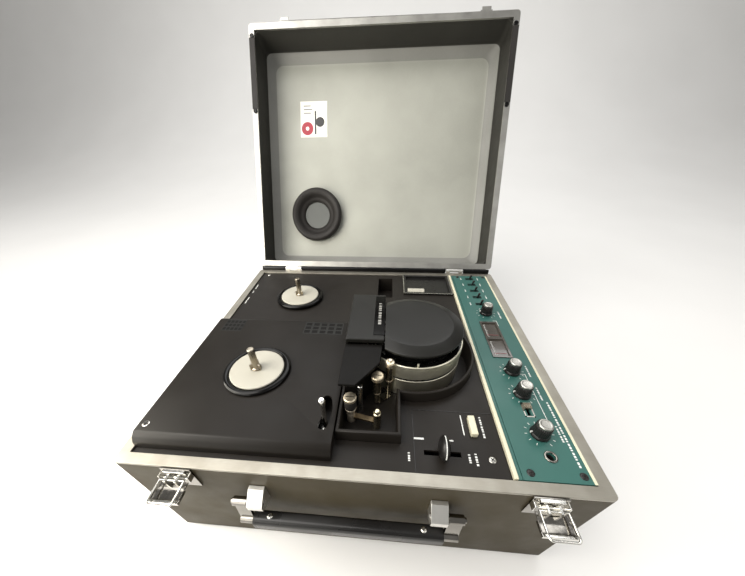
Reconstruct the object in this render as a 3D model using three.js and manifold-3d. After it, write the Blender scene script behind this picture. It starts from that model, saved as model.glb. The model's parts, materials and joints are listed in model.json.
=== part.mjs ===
// Portable reel to reel tape deck with a helical-scan head drum, in a carrying case with a hinged lid.
// Millimetres. +X towards the control panel, +Y towards the hinges, +Z up. Every piece is placed from
// the rim plane, where case and lid meet, with the case centred on X and Y.
import * as THREE from "three";
import { mergeVertices } from "three/addons/utils/BufferGeometryUtils.js";
import Module from "manifold-3d";

const wasm = await Module();
wasm.setup();

// ---- driving dimensions ----
const GAP = 0.3; // between pieces that touch
const CASE_W = 440;
const CASE_D = 392;
const BASE_H = 160; // rim plane down to the case's underside
const FOOT_H = 8;
const WALL = 9;
const FLOOR = 6;
const CORNER_R = 5;
const RIM_W = 10.9;
const RIM_T = 3;
const LEDGE_TOP = -5.4; // batten under the deck plates
const LEDGE_W = 13;

const LID_GAP = 1.8; // rim to rim when shut
const LID_TOP = 68;
const LID_INSIDE = 62; // rim plane to the inner panel when shut
const LID_WALL = 9.5;
const LID_BEVEL_RUN = 13.3;
const LID_BEVEL_RISE = 11.7;
const LID_OPEN_DEG = 118.1;
const HINGE_Y = CASE_D / 2 + 3.8;
const HINGE_Z = 3.2;
const HINGE_X = 154;
const HINGE_W = 30;

const DECK_TOP = -2; // lower deck level
const DECK_T = 3;
const DECK_X = [-208.6, 141.2];
const DECK_Y = [-184.6, 184.6];
const STAGE_TOP = 14; // raised reel platform
const STAGE_X = [-208.4, -17.5];
const STAGE_Y = [-179.5, 14];
const POCKET = { x: [14, 39], y: [107, 173], depth: 25, wall: 2 };
const COUNTER = { x: [60, 138], y: [120, 182] };
const LEVER = { x: 84.5, y: -164.5, slot: 34, hub: 13, pivotZ: -45 };
const KEY = { x: 117.5, y: -134, w: 6.5, l: 21.5 };
const TENSION = { x: -75, y: -138, arm: 49.5, rest: -13, travel: 30 };
const PINCH_PIVOT = [22.5, -131];
const PINCH_ROLLER = [-5.2, -125];

const DRUM = { x: 62, y: -31.6, r: 57.9 };
const TRAY = { x0: -16.5, x1: 46, y0: -157, y1: 30, r: 75, wall: 3.5, lip: 12, floor: -15 };
const COVER_TOP = 50;
const CAP_TOP = 52;
const CAP_CHORD = 28; // where the round cap meets its square side

const REEL_FRONT = { x: -116.7, y: -87, top: 18.5 };
const REEL_REAR = { x: -115.5, y: 98.6, top: 4.8 };
const REEL_DISC_R = 30.4;
const REEL_RING_R = 38;

const PULLEY_Z = -34; // level of the flat belt's pulleys
const PULLEY_H = 10;
const CAPSTAN = { x: 4, y: -112, r: 2.5, flywheel: 36 };
const DRUM_PULLEY_R = 22;
const MOTOR = { x: 100, y: -110, r: 33, pulley: 9 };

const PANEL_X = [148.9, 208.6];
const PANEL_TOP = 0.5;
const KNOB_X = 179;
const KNOB_Y = [65, -56, -90, -139];
const TOGGLE_X = 176.5;
const TOGGLE_Y0 = 173;
const TOGGLE_STEP = 20.7;
const TOGGLE_COUNT = 5;

const LATCH_X = 163; // from the middle of the pair, which stands off the case's middle
const LATCH_MIDDLE = 5;
const LATCH_PIVOT = { y: -200.8, z: -11 };
const LOOP_PIVOT = { y: -205, z: -7 };
const LOOP_LENGTH = 20.7;
const HANDLE_PIVOT = { y: -206.5, z: -38 };
const HANDLE_X = 77; // inner face of each handle bracket, from the handle's middle
const HANDLE_MIDDLE = -3;

const FRONT = -CASE_D / 2;
const REAR = CASE_D / 2;

// ---- materials ----
const skin = (color, roughness, metalness = 0) =>
  new THREE.MeshStandardMaterial({ color, roughness, metalness });
const CASE_GREY = skin(0x6d6a62, 0.4, 0.3);
const RIM_ALU = skin(0xc9c7bb, 0.35, 0.9);
const LID_GREY = skin(0x767a76, 0.45, 0.3);
const BLACK = skin(0x2a2927, 0.5);
const RUBBER = skin(0x141414, 0.8);
const CHROME = skin(0xd8d6d0, 0.15, 1);
const STEEL = skin(0xa8a6a0, 0.35, 1);
const SILVER = skin(0xb9b6a8, 0.3, 0.9);
const WHITE = skin(0xe9e7df, 0.5);
const CREAM = skin(0xe6e2c8, 0.5);
const TEAL = skin(0x4b8580, 0.5, 0.2);
const BRASS = skin(0xb8a878, 0.3, 1);
const DARK_GLASS = skin(0x39352f, 0.2);

// ---- solids ----
function solid(geometry) {
  const bare = geometry.index ? geometry.toNonIndexed() : geometry.clone();
  bare.deleteAttribute("normal");
  bare.deleteAttribute("uv");
  const merged = mergeVertices(bare, 1e-4);
  const triVerts = new Uint32Array(merged.index.array);
  const vertProperties = new Float32Array(merged.attributes.position.array);
  const made = new wasm.Manifold(new wasm.Mesh({ numProp: 3, vertProperties, triVerts }));
  if (made.volume() >= 0) return made;
  for (let i = 0; i < triVerts.length; i += 3) {
    [triVerts[i + 1], triVerts[i + 2]] = [triVerts[i + 2], triVerts[i + 1]];
  }
  return new wasm.Manifold(new wasm.Mesh({ numProp: 3, vertProperties, triVerts }));
}

function joined(...solids) {
  return solids.reduce((all, next) => all.add(next));
}

function without(body, ...cuts) {
  return cuts.reduce((left, cut) => left.subtract(cut), body);
}

// Box between two corners, given as [low, high] on each axis.
function block([x0, x1], [y0, y1], [z0, z1]) {
  const shape = new THREE.BoxGeometry(x1 - x0, y1 - y0, z1 - z0);
  return solid(shape.translate((x0 + x1) / 2, (y0 + y1) / 2, (z0 + z1) / 2));
}

// Upright cylinder or cone from z0 to z1.
function post(x, y, r, [z0, z1], sides = 16, rTop = r) {
  const shape = new THREE.CylinderGeometry(rTop, r, z1 - z0, sides).rotateX(Math.PI / 2);
  return solid(shape.translate(x, y, (z0 + z1) / 2));
}

// Cylinder along X.
function rod([x0, x1], y, z, r, sides = 12) {
  const shape = new THREE.CylinderGeometry(r, r, x1 - x0, sides).rotateZ(Math.PI / 2);
  return solid(shape.translate((x0 + x1) / 2, y, z));
}

// Turned piece: [radius, z] pairs round a vertical axis.
function turned(x, y, profile, sides = 20) {
  const points = profile.map(([r, z]) => new THREE.Vector2(r, z));
  return solid(new THREE.LatheGeometry(points, sides).rotateX(Math.PI / 2).translate(x, y, 0));
}

function outline(points) {
  return new THREE.Shape(points.map(([a, b]) => new THREE.Vector2(a, b)));
}

function roundedOutline(width, depth, radius) {
  const w = width / 2 - radius;
  const d = depth / 2 - radius;
  const shape = new THREE.Shape();
  shape.absarc(w, d, radius, 0, Math.PI / 2);
  shape.absarc(-w, d, radius, Math.PI / 2, Math.PI);
  shape.absarc(-w, -d, radius, Math.PI, 1.5 * Math.PI);
  shape.absarc(w, -d, radius, 1.5 * Math.PI, 2 * Math.PI);
  shape.closePath();
  return shape;
}

function extruded(shape, depth, curveSegments = 2) {
  return new THREE.ExtrudeGeometry(shape, { depth, bevelEnabled: false, curveSegments });
}

// Rounded upright slab centred on the case.
function slab(width, depth, radius, [z0, z1]) {
  return solid(extruded(roundedOutline(width, depth, radius), z1 - z0).translate(0, 0, z0));
}

// Prism whose outline lies in X and Y.
function prism(points, [z0, z1]) {
  return solid(extruded(outline(points), z1 - z0).translate(0, 0, z0));
}

// Prism along X whose outline lies in Y and Z.
function prismX(points, [x0, x1]) {
  const turn = new THREE.Matrix4().makeBasis(
    new THREE.Vector3(0, 1, 0),
    new THREE.Vector3(0, 0, 1),
    new THREE.Vector3(1, 0, 0),
  );
  return solid(extruded(outline(points), x1 - x0).applyMatrix4(turn).translate(x0, 0, 0));
}

// Prism along Y whose outline lies in X and Z.
function prismY(points, [y0, y1]) {
  return solid(extruded(outline(points), y1 - y0).rotateX(Math.PI / 2).translate(0, y1, 0));
}

// Bar of rectangular section between two points of the Y-Z plane, across [x0, x1].
function strapX([x0, x1], [ya, za], [yb, zb], thickness) {
  const length = Math.hypot(yb - ya, zb - za);
  const ny = (-(zb - za) / length) * (thickness / 2);
  const nz = ((yb - ya) / length) * (thickness / 2);
  const corners = [
    [ya + ny, za + nz],
    [ya - ny, za - nz],
    [yb - ny, zb - nz],
    [yb + ny, zb + nz],
  ];
  return prismX(corners, [x0, x1]);
}

// Flat bar in plan between two points, with round ends.
function link([xa, ya], [xb, yb], width, [z0, z1]) {
  const length = Math.hypot(xb - xa, yb - ya);
  const nx = (-(yb - ya) / length) * (width / 2);
  const ny = ((xb - xa) / length) * (width / 2);
  const corners = [
    [xa + nx, ya + ny],
    [xa - nx, ya - ny],
    [xb - nx, yb - ny],
    [xb + nx, yb + ny],
  ];
  return joined(
    prism(corners, [z0, z1]),
    post(xa, ya, width / 2, [z0, z1], 10),
    post(xb, yb, width / 2, [z0, z1], 10),
  );
}

const deck = new THREE.Group();
const lid = new THREE.Group();

function add(name, body, material, parent = deck) {
  const made = body.getMesh();
  const geometry = new THREE.BufferGeometry();
  geometry.setAttribute("position", new THREE.BufferAttribute(made.vertProperties, 3));
  geometry.setIndex(new THREE.BufferAttribute(made.triVerts, 1));
  geometry.computeVertexNormals();
  const mesh = new THREE.Mesh(geometry, material);
  mesh.name = name;
  parent.add(mesh);
}

// The same piece on the left (-1) and on the right (+1).
function bothSides(make) {
  make("left", -1);
  make("right", 1);
}

// ---- case ----
const CONNECTOR = { x: [60, 172], z: [-126, -48], rebate: 6 };

function caseBase() {
  const inner = [CASE_W - 2 * WALL, CASE_D - 2 * WALL];
  const outside = slab(CASE_W, CASE_D, CORNER_R, [-BASE_H, -RIM_T - GAP]);
  const { x, z, rebate } = CONNECTOR;
  return without(
    outside,
    slab(inner[0], inner[1], 2, [-BASE_H + FLOOR, -20]),
    slab(inner[0] - 2 * LEDGE_W, inner[1] - 2 * LEDGE_W, 2, [-21, LEDGE_TOP]),
    slab(inner[0], inner[1], 2, [LEDGE_TOP, 0]),
    block(x, [REAR - WALL - 1, REAR + 1], z),
    block([x[0] - rebate, x[1] + rebate], [REAR - 4, REAR + 1], [z[0] - rebate, z[1] + rebate]),
    block([POCKET.x[0] - 4, COUNTER.x[1] + 4], [REAR - WALL - LEDGE_W - 1, REAR - WALL], [-21, 0]),
  );
}

function rimRing(innerWidth, [z0, z1]) {
  const inside = slab(CASE_W - 2 * innerWidth, CASE_D - 2 * innerWidth, 1, [z0 - 1, z1 + 1]);
  return slab(CASE_W, CASE_D, CORNER_R, [z0, z1]).subtract(inside);
}

// Rear plate with mains inlet, four coaxial sockets and one round multi-pin socket, and the supply's
// shelf and transformer behind it.
function connectorPanel() {
  const { x, z, rebate } = CONNECTOR;
  const plateX = [x[0] - rebate + GAP, x[1] + rebate - GAP];
  const plateZ = [z[0] - rebate + GAP, z[1] + rebate - GAP];
  const face = REAR - 0.6;
  const shelfZ = z[0] + 2;
  const inlet = { x: 150, z: -70 };
  const socket = (sx, sz, r, out) => {
    const shape = new THREE.CylinderGeometry(r, r, out + 2, 12);
    return solid(shape.translate(sx, face + out / 2 - 1, sz));
  };
  const sockets = [80, 98].flatMap((sx) => [-66, -86].map((sz) => socket(sx, sz, 5, 7)));
  const body = joined(
    block(plateX, [REAR - 3.6, face], plateZ),
    block([x[0] + 4, x[1] - 4], [REAR - 90, REAR - 3], [shelfZ, shelfZ + 2]),
    block([84, 150], [REAR - 84, REAR - 26], [shelfZ + 1, shelfZ + 52]),
    block([inlet.x - 17, inlet.x + 17], [REAR - 18, face + 1], [inlet.z - 11, inlet.z + 11]),
    socket(124, -72, 10, 4),
    ...sockets,
  );
  const cup = block([inlet.x - 14, inlet.x + 14], [REAR - 14, REAR + 2], [inlet.z - 8, inlet.z + 8]);
  const pins = [-7, 7].map((dx) => {
    const pin = new THREE.CylinderGeometry(1.8, 1.8, 13, 12);
    return solid(pin.translate(inlet.x + dx, REAR - 9, inlet.z));
  });
  return joined(without(body, cup), ...pins);
}

function footRail(side) {
  const x = [side * 150 - 12, side * 150 + 12];
  const top = -BASE_H - GAP;
  const profile = [
    [x[0], top],
    [x[1], top],
    [x[1], top - 3],
    [x[1] - 2.5, -BASE_H - FOOT_H],
    [x[0] + 2.5, -BASE_H - FOOT_H],
    [x[0], top - 3],
  ];
  return prismY(profile, [-168, 168]);
}

add("case_base", caseBase(), CASE_GREY);
add("base_rim", rimRing(RIM_W, [-RIM_T, 0]), RIM_ALU);
add("connector_panel", connectorPanel(), STEEL);
bothSides((name, side) => add("foot_rail_" + name, footRail(side), RUBBER));

// ---- lid, drawn shut and swung open about the hinge line ----
lid.position.set(0, HINGE_Y, HINGE_Z);
lid.rotation.x = THREE.MathUtils.degToRad(-LID_OPEN_DEG);
const onLid = new THREE.Group();
onLid.position.set(0, -HINGE_Y, -HINGE_Z);
lid.add(onLid);
deck.add(lid);

const LID_RIM_Z = [LID_GAP, LID_GAP + RIM_T];

function lidShell() {
  const low = LID_RIM_Z[1] + GAP;
  const halfW = CASE_W / 2 - LID_WALL;
  const halfD = CASE_D / 2 - LID_WALL;
  const hip = (half) => [
    [-half, low - 1],
    [half, low - 1],
    [half, LID_INSIDE - LID_BEVEL_RISE],
    [half - LID_BEVEL_RUN, LID_INSIDE],
    [-half + LID_BEVEL_RUN, LID_INSIDE],
    [-half, LID_INSIDE - LID_BEVEL_RISE],
  ];
  const across = prismY(hip(halfW), [-halfD, halfD]);
  const along = prismX(hip(halfD), [-halfW, halfW]);
  return slab(CASE_W, CASE_D, CORNER_R, [low, LID_TOP]).subtract(across.intersect(along));
}

// Keeper on the lid's front edge: a plate with a hook that is open at its top.
function keeper(side) {
  const x = LATCH_MIDDLE + side * LATCH_X;
  const face = FRONT - GAP;
  return joined(
    block([x - 9, x + 9], [face - 1.3, face], [LID_RIM_Z[0], 16]),
    block([x - 9, x + 9], [face - 1, FRONT + 1], LID_RIM_Z),
    block([x - 7, x + 7], [-202.4, face - 1], [2.2, 3.4]),
    block([x - 7, x + 7], [-202.4, -201.2], [2.2, 4.3]),
  );
}

// Soft ring that bears on the rear reel when the lid is shut.
function lidCup() {
  const top = LID_INSIDE - GAP;
  const profile = [
    [25, top],
    [49, top],
    [50.8, top - 6],
    [50.2, top - 14],
    [47, top - 18],
    [43, top - 18],
    [38, top - 15],
    [33, top - 9],
    [25, top - 5],
    [25, top],
  ];
  return turned(-118, 92, profile, 28);
}

function lidStrip(side) {
  const x = side * 214.5;
  return block([x - 4.7, x + 4.7], [-175, -71], [LID_GAP - 1.3, LID_GAP - GAP]);
}

add("lid_shell", lidShell(), LID_GREY, onLid);
add("lid_rim", joined(rimRing(LID_WALL, LID_RIM_Z), keeper(-1), keeper(1)), RIM_ALU, onLid);
add("lid_cup", lidCup(), RUBBER, onLid);
bothSides((name, side) => add("lid_strip_" + name, lidStrip(side), RUBBER, onLid));

// ---- hinges: the lid leaf carries the pin ----
const KNUCKLE_R = 3;
const HINGE_END = 7; // length of each outer knuckle

function baseLeaf(side) {
  const x0 = side * HINGE_X - HINGE_W / 2;
  const x1 = x0 + HINGE_W;
  const leaf = [REAR + GAP, REAR + GAP + 1.5];
  const ends = [
    [x0, x0 + HINGE_END],
    [x1 - HINGE_END, x1],
  ];
  return joined(
    block([x0, x1], leaf, [-32, -0.4]),
    ...ends.map((x) => block(x, leaf, [-1, HINGE_Z])),
    ...ends.map((x) => rod(x, HINGE_Y, HINGE_Z, KNUCKLE_R)),
  ).subtract(rod([x0 - 1, x1 + 1], HINGE_Y, HINGE_Z, 1.6));
}

function lidLeaf(side) {
  const x0 = side * HINGE_X - HINGE_W / 2;
  const x1 = x0 + HINGE_W;
  const middle = [x0 + HINGE_END + GAP, x1 - HINGE_END - GAP];
  const leaf = [REAR + GAP, REAR + GAP + 1.5];
  return joined(
    block([x0, x1], leaf, [7, 34]),
    block(middle, leaf, [HINGE_Z, 8]),
    rod(middle, HINGE_Y, HINGE_Z, KNUCKLE_R),
    rod([x0 - 0.6, x1 + 0.6], HINGE_Y, HINGE_Z, 1.3),
  );
}

bothSides((name, side) => add("hinge_base_" + name, baseLeaf(side), CHROME));
bothSides((name, side) => add("hinge_lid_" + name, lidLeaf(side), CHROME, onLid));

// ---- draw latches, open: lever straight out, loop lying on it ----
function latchPlate(x) {
  const face = FRONT - GAP;
  const ear = [
    [face, -2.5],
    [-201.5, -7],
    [-203.4, -9.5],
    [-203.4, -13],
    [face, -18],
  ];
  return joined(
    block([x - 14.4, x + 14.4], [face - 1.5, face], [-33, -1.5]),
    prismX(ear, [x - 14.4, x - 13.2]),
    prismX(ear, [x + 13.2, x + 14.4]),
  ).subtract(rod([x - 15, x + 15], LATCH_PIVOT.y, LATCH_PIVOT.z, 1.4, 12));
}

function latchLever(x) {
  const { y, z } = LATCH_PIVOT;
  const tip = -222.6;
  const shoulder = -210.5; // the lever is wider beyond the ears
  const lug = [
    [-202.4, z - 2],
    [-202.8, LOOP_PIVOT.z + 2],
    [LOOP_PIVOT.y + 1, LOOP_PIVOT.z + 2.3],
    [LOOP_PIVOT.y - 2.2, LOOP_PIVOT.z + 1],
    [LOOP_PIVOT.y - 2.4, z - 2],
  ];
  const body = joined(
    rod([x - 14.1, x + 14.1], y, z, 1.15, 12),
    rod([x - 7.5, x + 7.5], y, z, 2.2),
    block([x - 7.5, x + 7.5], [-204, y - 1], [z - 2.2, z - 1]),
    block([x - 12.6, x + 12.6], [shoulder - 1, -203.6], [z - 2.2, z - 1]),
    block([x - 14.2, x + 14.2], [tip, shoulder], [z - 2.2, z - 1]),
    block([x - 14.2, x + 14.2], [tip, tip + 1.2], [z - 2.2, z + 1.6]),
    block([x - 14.2, x - 13.4], [tip, shoulder], [z - 2.2, z + 1.2]),
    block([x + 13.4, x + 14.2], [tip, shoulder], [z - 2.2, z + 1.2]),
    prismX(lug, [x - 6, x - 4]),
    prismX(lug, [x + 4, x + 6]),
  );
  return body.subtract(rod([x - 7, x + 7], LOOP_PIVOT.y, LOOP_PIVOT.z, 1.2, 12));
}

function latchLoop(x) {
  const { y, z } = LOOP_PIVOT;
  const far = y - LOOP_LENGTH;
  const side = (sx) => {
    const wire = new THREE.CylinderGeometry(1, 1, LOOP_LENGTH, 10);
    return solid(wire.translate(sx, (y + far) / 2, z));
  };
  return joined(
    rod([x - 12.2, x + 12.2], y, z, 1, 10),
    rod([x - 12.2, x + 12.2], far, z, 1.2, 12),
    side(x - 11.4),
    side(x + 11.4),
  );
}

bothSides((name, side) => add("latch_plate_" + name, latchPlate(LATCH_MIDDLE + side * LATCH_X), CHROME));
bothSides((name, side) => add("latch_lever_" + name, latchLever(LATCH_MIDDLE + side * LATCH_X), CHROME));
bothSides((name, side) => add("latch_loop_" + name, latchLoop(LATCH_MIDDLE + side * LATCH_X), CHROME));

// ---- carrying handle ----
const GRIP_CENTRE = [-210, -71];
const ARM_X = [93, 106.5];

function handleBracket(side) {
  const near = HANDLE_MIDDLE + side * HANDLE_X;
  const far = near + side * 15;
  const x = [Math.min(near, far), Math.max(near, far)];
  const profile = [
    [FRONT - GAP, -26],
    [-200, -26],
    [-212, -36],
    [-212, -43],
    [-205, -49],
    [FRONT - GAP, -49],
  ];
  const bore = rod([x[0] - 1, x[1] + 1], HANDLE_PIVOT.y, HANDLE_PIVOT.z, 2.8);
  return prismX(profile, x).subtract(bore);
}

function handleFrame() {
  const pivot = [HANDLE_PIVOT.y, HANDLE_PIVOT.z];
  const arm = (side) => {
    const x = side > 0 ? ARM_X : [-ARM_X[1], -ARM_X[0]];
    const pin = side > 0 ? [HANDLE_X + 1, ARM_X[1] + 2] : [-ARM_X[1] - 2, -HANDLE_X - 1];
    return joined(
      rod(pin, ...pivot, 2.5),
      rod(x, ...pivot, 4.5),
      strapX(x, pivot, GRIP_CENTRE, 3),
      rod(x, ...GRIP_CENTRE, 5),
    );
  };
  const bar = rod([-ARM_X[1], ARM_X[1]], ...GRIP_CENTRE, 3, 12);
  return joined(arm(-1), arm(1), bar).translate(HANDLE_MIDDLE, 0, 0);
}

function handleGrip() {
  const [y, z] = GRIP_CENTRE;
  const half = ARM_X[0] - 0.6;
  const section = [
    [y + 6, z + 9],
    [y - 4, z + 9],
    [y - 7, z + 5],
    [y - 7, z - 7],
    [y - 4, z - 10],
    [y + 4, z - 10],
    [y + 6, z - 7],
  ];
  const bore = rod([-half - 1, half + 1], y, z, 3.3, 12);
  return prismX(section, [-half, half]).subtract(bore).translate(HANDLE_MIDDLE, 0, 0);
}

bothSides((name, side) => add("handle_bracket_" + name, handleBracket(side), CHROME));
add("handle_frame", handleFrame(), CHROME);
add("handle_grip", handleGrip(), BLACK);

// ---- deck plates ----
// Plan of the mechanism tray, grown by `grow` on every side.
function trayPlan(grow, z) {
  const x = [TRAY.x0 - grow, TRAY.x1 + grow];
  const y = [TRAY.y0 - grow, TRAY.y1 + grow];
  return block(x, y, z).add(post(DRUM.x, DRUM.y, TRAY.r + grow, z, 40));
}

// Two cheeks hanging from the deck, with the pin the function lever turns on.
function leverBracket() {
  const { x, y, hub, pivotZ } = LEVER;
  const inner = hub / 2 + GAP;
  const outer = inner + 2;
  const pin = new THREE.CylinderGeometry(2, 2, 2 * outer - 1, 12).translate(x, y, pivotZ);
  return joined(
    block([x - 6, x + 6], [y - outer, y - inner], [pivotZ - 6, DECK_TOP]),
    block([x - 6, x + 6], [y + inner, y + outer], [pivotZ - 6, DECK_TOP]),
    solid(pin),
  );
}

function deckPlate() {
  const z = [DECK_TOP - DECK_T, DECK_TOP];
  const through = [z[0] - 1, z[1] + 1];
  const { x, y, depth, wall } = POCKET;
  const pocket = block(
    [x[0] - wall, x[1] + wall],
    [y[0] - wall, y[1] + wall],
    [DECK_TOP - depth - wall, DECK_TOP],
  );
  const keyX = [KEY.x - KEY.w / 2 - 0.5, KEY.x + KEY.w / 2 + 0.5];
  const keyY = [KEY.y - KEY.l / 2 - 0.5, KEY.y + KEY.l / 2 + 0.5];
  const bearings = [REEL_FRONT, REEL_REAR].map((reel) => post(reel.x, reel.y, 10, [-11.5, z[1]]));
  const bores = [REEL_FRONT, REEL_REAR].map((reel) => post(reel.x, reel.y, 6, [-13, 1], 16));
  const leverSlotX = [LEVER.x - LEVER.slot / 2, LEVER.x + LEVER.slot / 2];
  const plate = without(
    joined(block(DECK_X, DECK_Y, z), pocket, ...bearings, leverBracket()),
    trayPlan(0.6, through),
    block(x, y, [DECK_TOP - depth, 1]),
    block(COUNTER.x, COUNTER.y, through),
    block(leverSlotX, [LEVER.y - 2.5, LEVER.y + 2.5], through),
    block(keyX, keyY, through),
    ...bores,
  );
  return plate.add(post(TENSION.x, TENSION.y, 2, [z[0], 5], 12));
}

function onTension(degrees) {
  const a = THREE.MathUtils.degToRad(degrees);
  return [TENSION.x + TENSION.arm * Math.cos(a), TENSION.y + TENSION.arm * Math.sin(a)];
}

function reelCover() {
  const base = DECK_TOP + GAP;
  const section = ([y0, y1], grow) => [
    [y0 + grow, base - (grow ? 1 : 0)],
    [y0 + grow + 1, 5],
    [y0 + grow + 5, STAGE_TOP - grow - 1.5],
    [y0 + grow + 8, STAGE_TOP - grow],
    [y1 - grow - 2.5, STAGE_TOP - grow],
    [y1 - grow, STAGE_TOP - grow - 2.5],
    [y1 - grow, base - (grow ? 1 : 0)],
  ];
  const skinT = 2.5;
  const steps = 3;
  const slotStart = TENSION.rest - 5;
  const slotStep = (TENSION.travel + 8) / steps;
  const slot = Array.from({ length: steps }, (_, i) => {
    const from = onTension(slotStart + slotStep * i);
    const to = onTension(slotStart + slotStep * (i + 1));
    return link(from, to, 9, [0, STAGE_TOP + 1]);
  });
  return without(
    prismX(section(STAGE_Y, 0), STAGE_X),
    prismX(section(STAGE_Y, skinT), [STAGE_X[0] + skinT, STAGE_X[1] - skinT]),
    post(REEL_FRONT.x, REEL_FRONT.y, 11, [0, STAGE_TOP + 1]),
    joined(...slot),
  );
}

function counterUnit() {
  const { x, y } = COUNTER;
  const top = DECK_TOP + GAP + 2.5;
  const flange = block([x[0] - 2, x[1] + 2], [y[0] - 2, y[1] + 2], [DECK_TOP + GAP, top]);
  const body = block([x[0] + GAP, x[1] - GAP], [y[0] + GAP, y[1] - GAP], [-26, DECK_TOP + 1]);
  const recess = block([x[0] + 3, x[1] - 3], [y[0] + 3, y[1] - 3], [DECK_TOP - 1.2, top + 1]);
  return joined(flange, body).subtract(recess).add(rod([x[0] + 6, x[0] + 33], y[0] + 10, -4, 5, 20));
}

add("deck_plate", deckPlate(), BLACK);
add("reel_cover", reelCover(), BLACK);
add("counter_unit", counterUnit(), BLACK);

// ---- reel tables and spindles ----
function reelTable({ x, y, top }, seat) {
  const profile = [
    [0, top],
    [REEL_DISC_R, top],
    [REEL_DISC_R + 0.6, top - 1.2],
    [REEL_RING_R - 2, top - 1.2],
    [REEL_RING_R, top - 2.5],
    [REEL_RING_R, seat + 0.6],
    [5.5, seat + 0.6],
    [5.5, -12],
    [20, -12],
    [20, -22],
    [5.5, -22],
    [5.5, -30],
    [0, -30],
  ];
  return turned(x, y, profile.reverse(), 28).subtract(post(x, y, 3, [top - 9, top + 1], 12));
}

// Splined reel spindle: shaft with three short drive wings, seated in the table's centre hole.
function reelSpindle({ x, y, top }) {
  const low = top + GAP;
  const wings = [90, 210, 330].map((degrees) => {
    const a = THREE.MathUtils.degToRad(degrees);
    const tip = [x + 7 * Math.cos(a), y + 7 * Math.sin(a)];
    return link([x, y], tip, 2, [low, low + 8]);
  });
  const nose = 27.5;
  return joined(
    post(x, y, 2.7, [top - 8.5, low + 1], 12),
    post(x, y, 5.5, [low, low + 2]),
    post(x, y, 3.7, [low + 1, low + nose], 12),
    post(x, y, 3.7, [low + nose, low + nose + 1.8], 12, 2),
    ...wings,
  );
}

for (const [name, reel, seat] of [
  ["front", REEL_FRONT, STAGE_TOP],
  ["rear", REEL_REAR, DECK_TOP],
]) {
  add("reel_table_" + name, reelTable(reel, seat), WHITE);
  add("reel_spindle_" + name, reelSpindle(reel), CHROME);
}

// ---- mechanism tray: cast chassis of the tape path, with its raised lip ----
function mechanismTray() {
  const { floor, lip, wall } = TRAY;
  const flangeTop = DECK_TOP - DECK_T - GAP;
  const body = without(
    trayPlan(0, [floor - 3, lip]).add(trayPlan(6, [flangeTop - 3, flangeTop])),
    trayPlan(-wall, [floor, lip + 1]),
    post(DRUM.x, DRUM.y, 5.8, [floor - 4, floor + 1]),
    post(CAPSTAN.x, CAPSTAN.y, CAPSTAN.r + 0.4, [floor - 4, floor + 1], 12),
  );
  return body.add(post(...PINCH_PIVOT, 1.8, [floor - 1, 5], 12));
}

const HEAD_COVER_TOP = 43.4;

// Cover over the stationary heads: walls open underneath, and a plate that overhangs them.
function headCover() {
  const under = HEAD_COVER_TOP - 3.4;
  const outer = [
    [-12.5, -67],
    [-12.5, -106],
    [1, -106],
    [19.5, -78],
    [19.5, -75],
    [14, -67],
  ];
  const inner = [
    [-10.5, -69],
    [-10.5, -104],
    [0, -104],
    [17.3, -77.8],
    [17.3, -75.6],
    [12.9, -69],
  ];
  const plate = [
    [-16, -66.4],
    [-16, -126],
    [0.8, -126],
    [23.3, -94.5],
    [25.6, -66.4],
  ];
  const walls = prism(outer, [TRAY.floor + GAP, under + 1]);
  const hollow = prism(inner, [TRAY.floor - 1, under]);
  return walls.add(prism(plate, [under, HEAD_COVER_TOP])).subtract(hollow);
}

// Two tape guides on one base: a capped roller post and a slim flanged post beside the drum.
function guidePosts() {
  const base = [TRAY.floor + GAP, TRAY.floor + GAP + 2];
  const wide = [21.5, -99.7];
  const slim = [34, -88.5];
  return joined(
    link(wide, slim, 9, base),
    post(...wide, 3.2, [base[0], 3]),
    post(...wide, 4.2, [2, 25]),
    post(...wide, 6.8, [24, 30]),
    post(...slim, 3, [base[0], 12], 16),
    post(...slim, 4.5, [11, 13], 16),
    post(...slim, 4, [12, 34], 16),
    post(...slim, 5.3, [33, 40], 16),
    post(...slim, 2.2, [39, 42.5], 16),
  );
}

function pinchArm() {
  const plate = [-7.4, -5];
  return joined(
    link(PINCH_PIVOT, PINCH_ROLLER, 6, plate),
    post(...PINCH_PIVOT, 4.2, [TRAY.floor + GAP + 0.2, 8]),
    post(...PINCH_PIVOT, 2.6, [7, 12], 16),
    post(...PINCH_ROLLER, 4.8, [TRAY.floor + GAP + 0.4, 6.5]),
    post(...PINCH_ROLLER, 6.4, [6.2, 7.6]),
    post(...PINCH_ROLLER, 2, [7, 21], 16),
    post(...PINCH_ROLLER, 6.8, [19.8, 24]),
  ).subtract(post(...PINCH_PIVOT, 2.1, [TRAY.floor, 5.4], 12));
}

function pinchRoller() {
  const z = [8, 19.4];
  return post(...PINCH_ROLLER, 6.6, z).subtract(post(...PINCH_ROLLER, 2.3, [z[0] - 1, z[1] + 1], 16));
}

function capstan() {
  const { x, y, r, flywheel } = CAPSTAN;
  const wheel = [
    [0, PULLEY_Z - 8],
    [4, PULLEY_Z - 8],
    [4, PULLEY_Z],
    [flywheel - 1, PULLEY_Z],
    [flywheel, PULLEY_Z + 1],
    [flywheel, PULLEY_Z + PULLEY_H - 1],
    [flywheel - 1, PULLEY_Z + PULLEY_H],
    [6, PULLEY_Z + PULLEY_H],
    [6, -20],
    [r, -20],
    [r, 26],
    [0, 26],
  ];
  return turned(x, y, wheel, 24);
}

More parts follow.
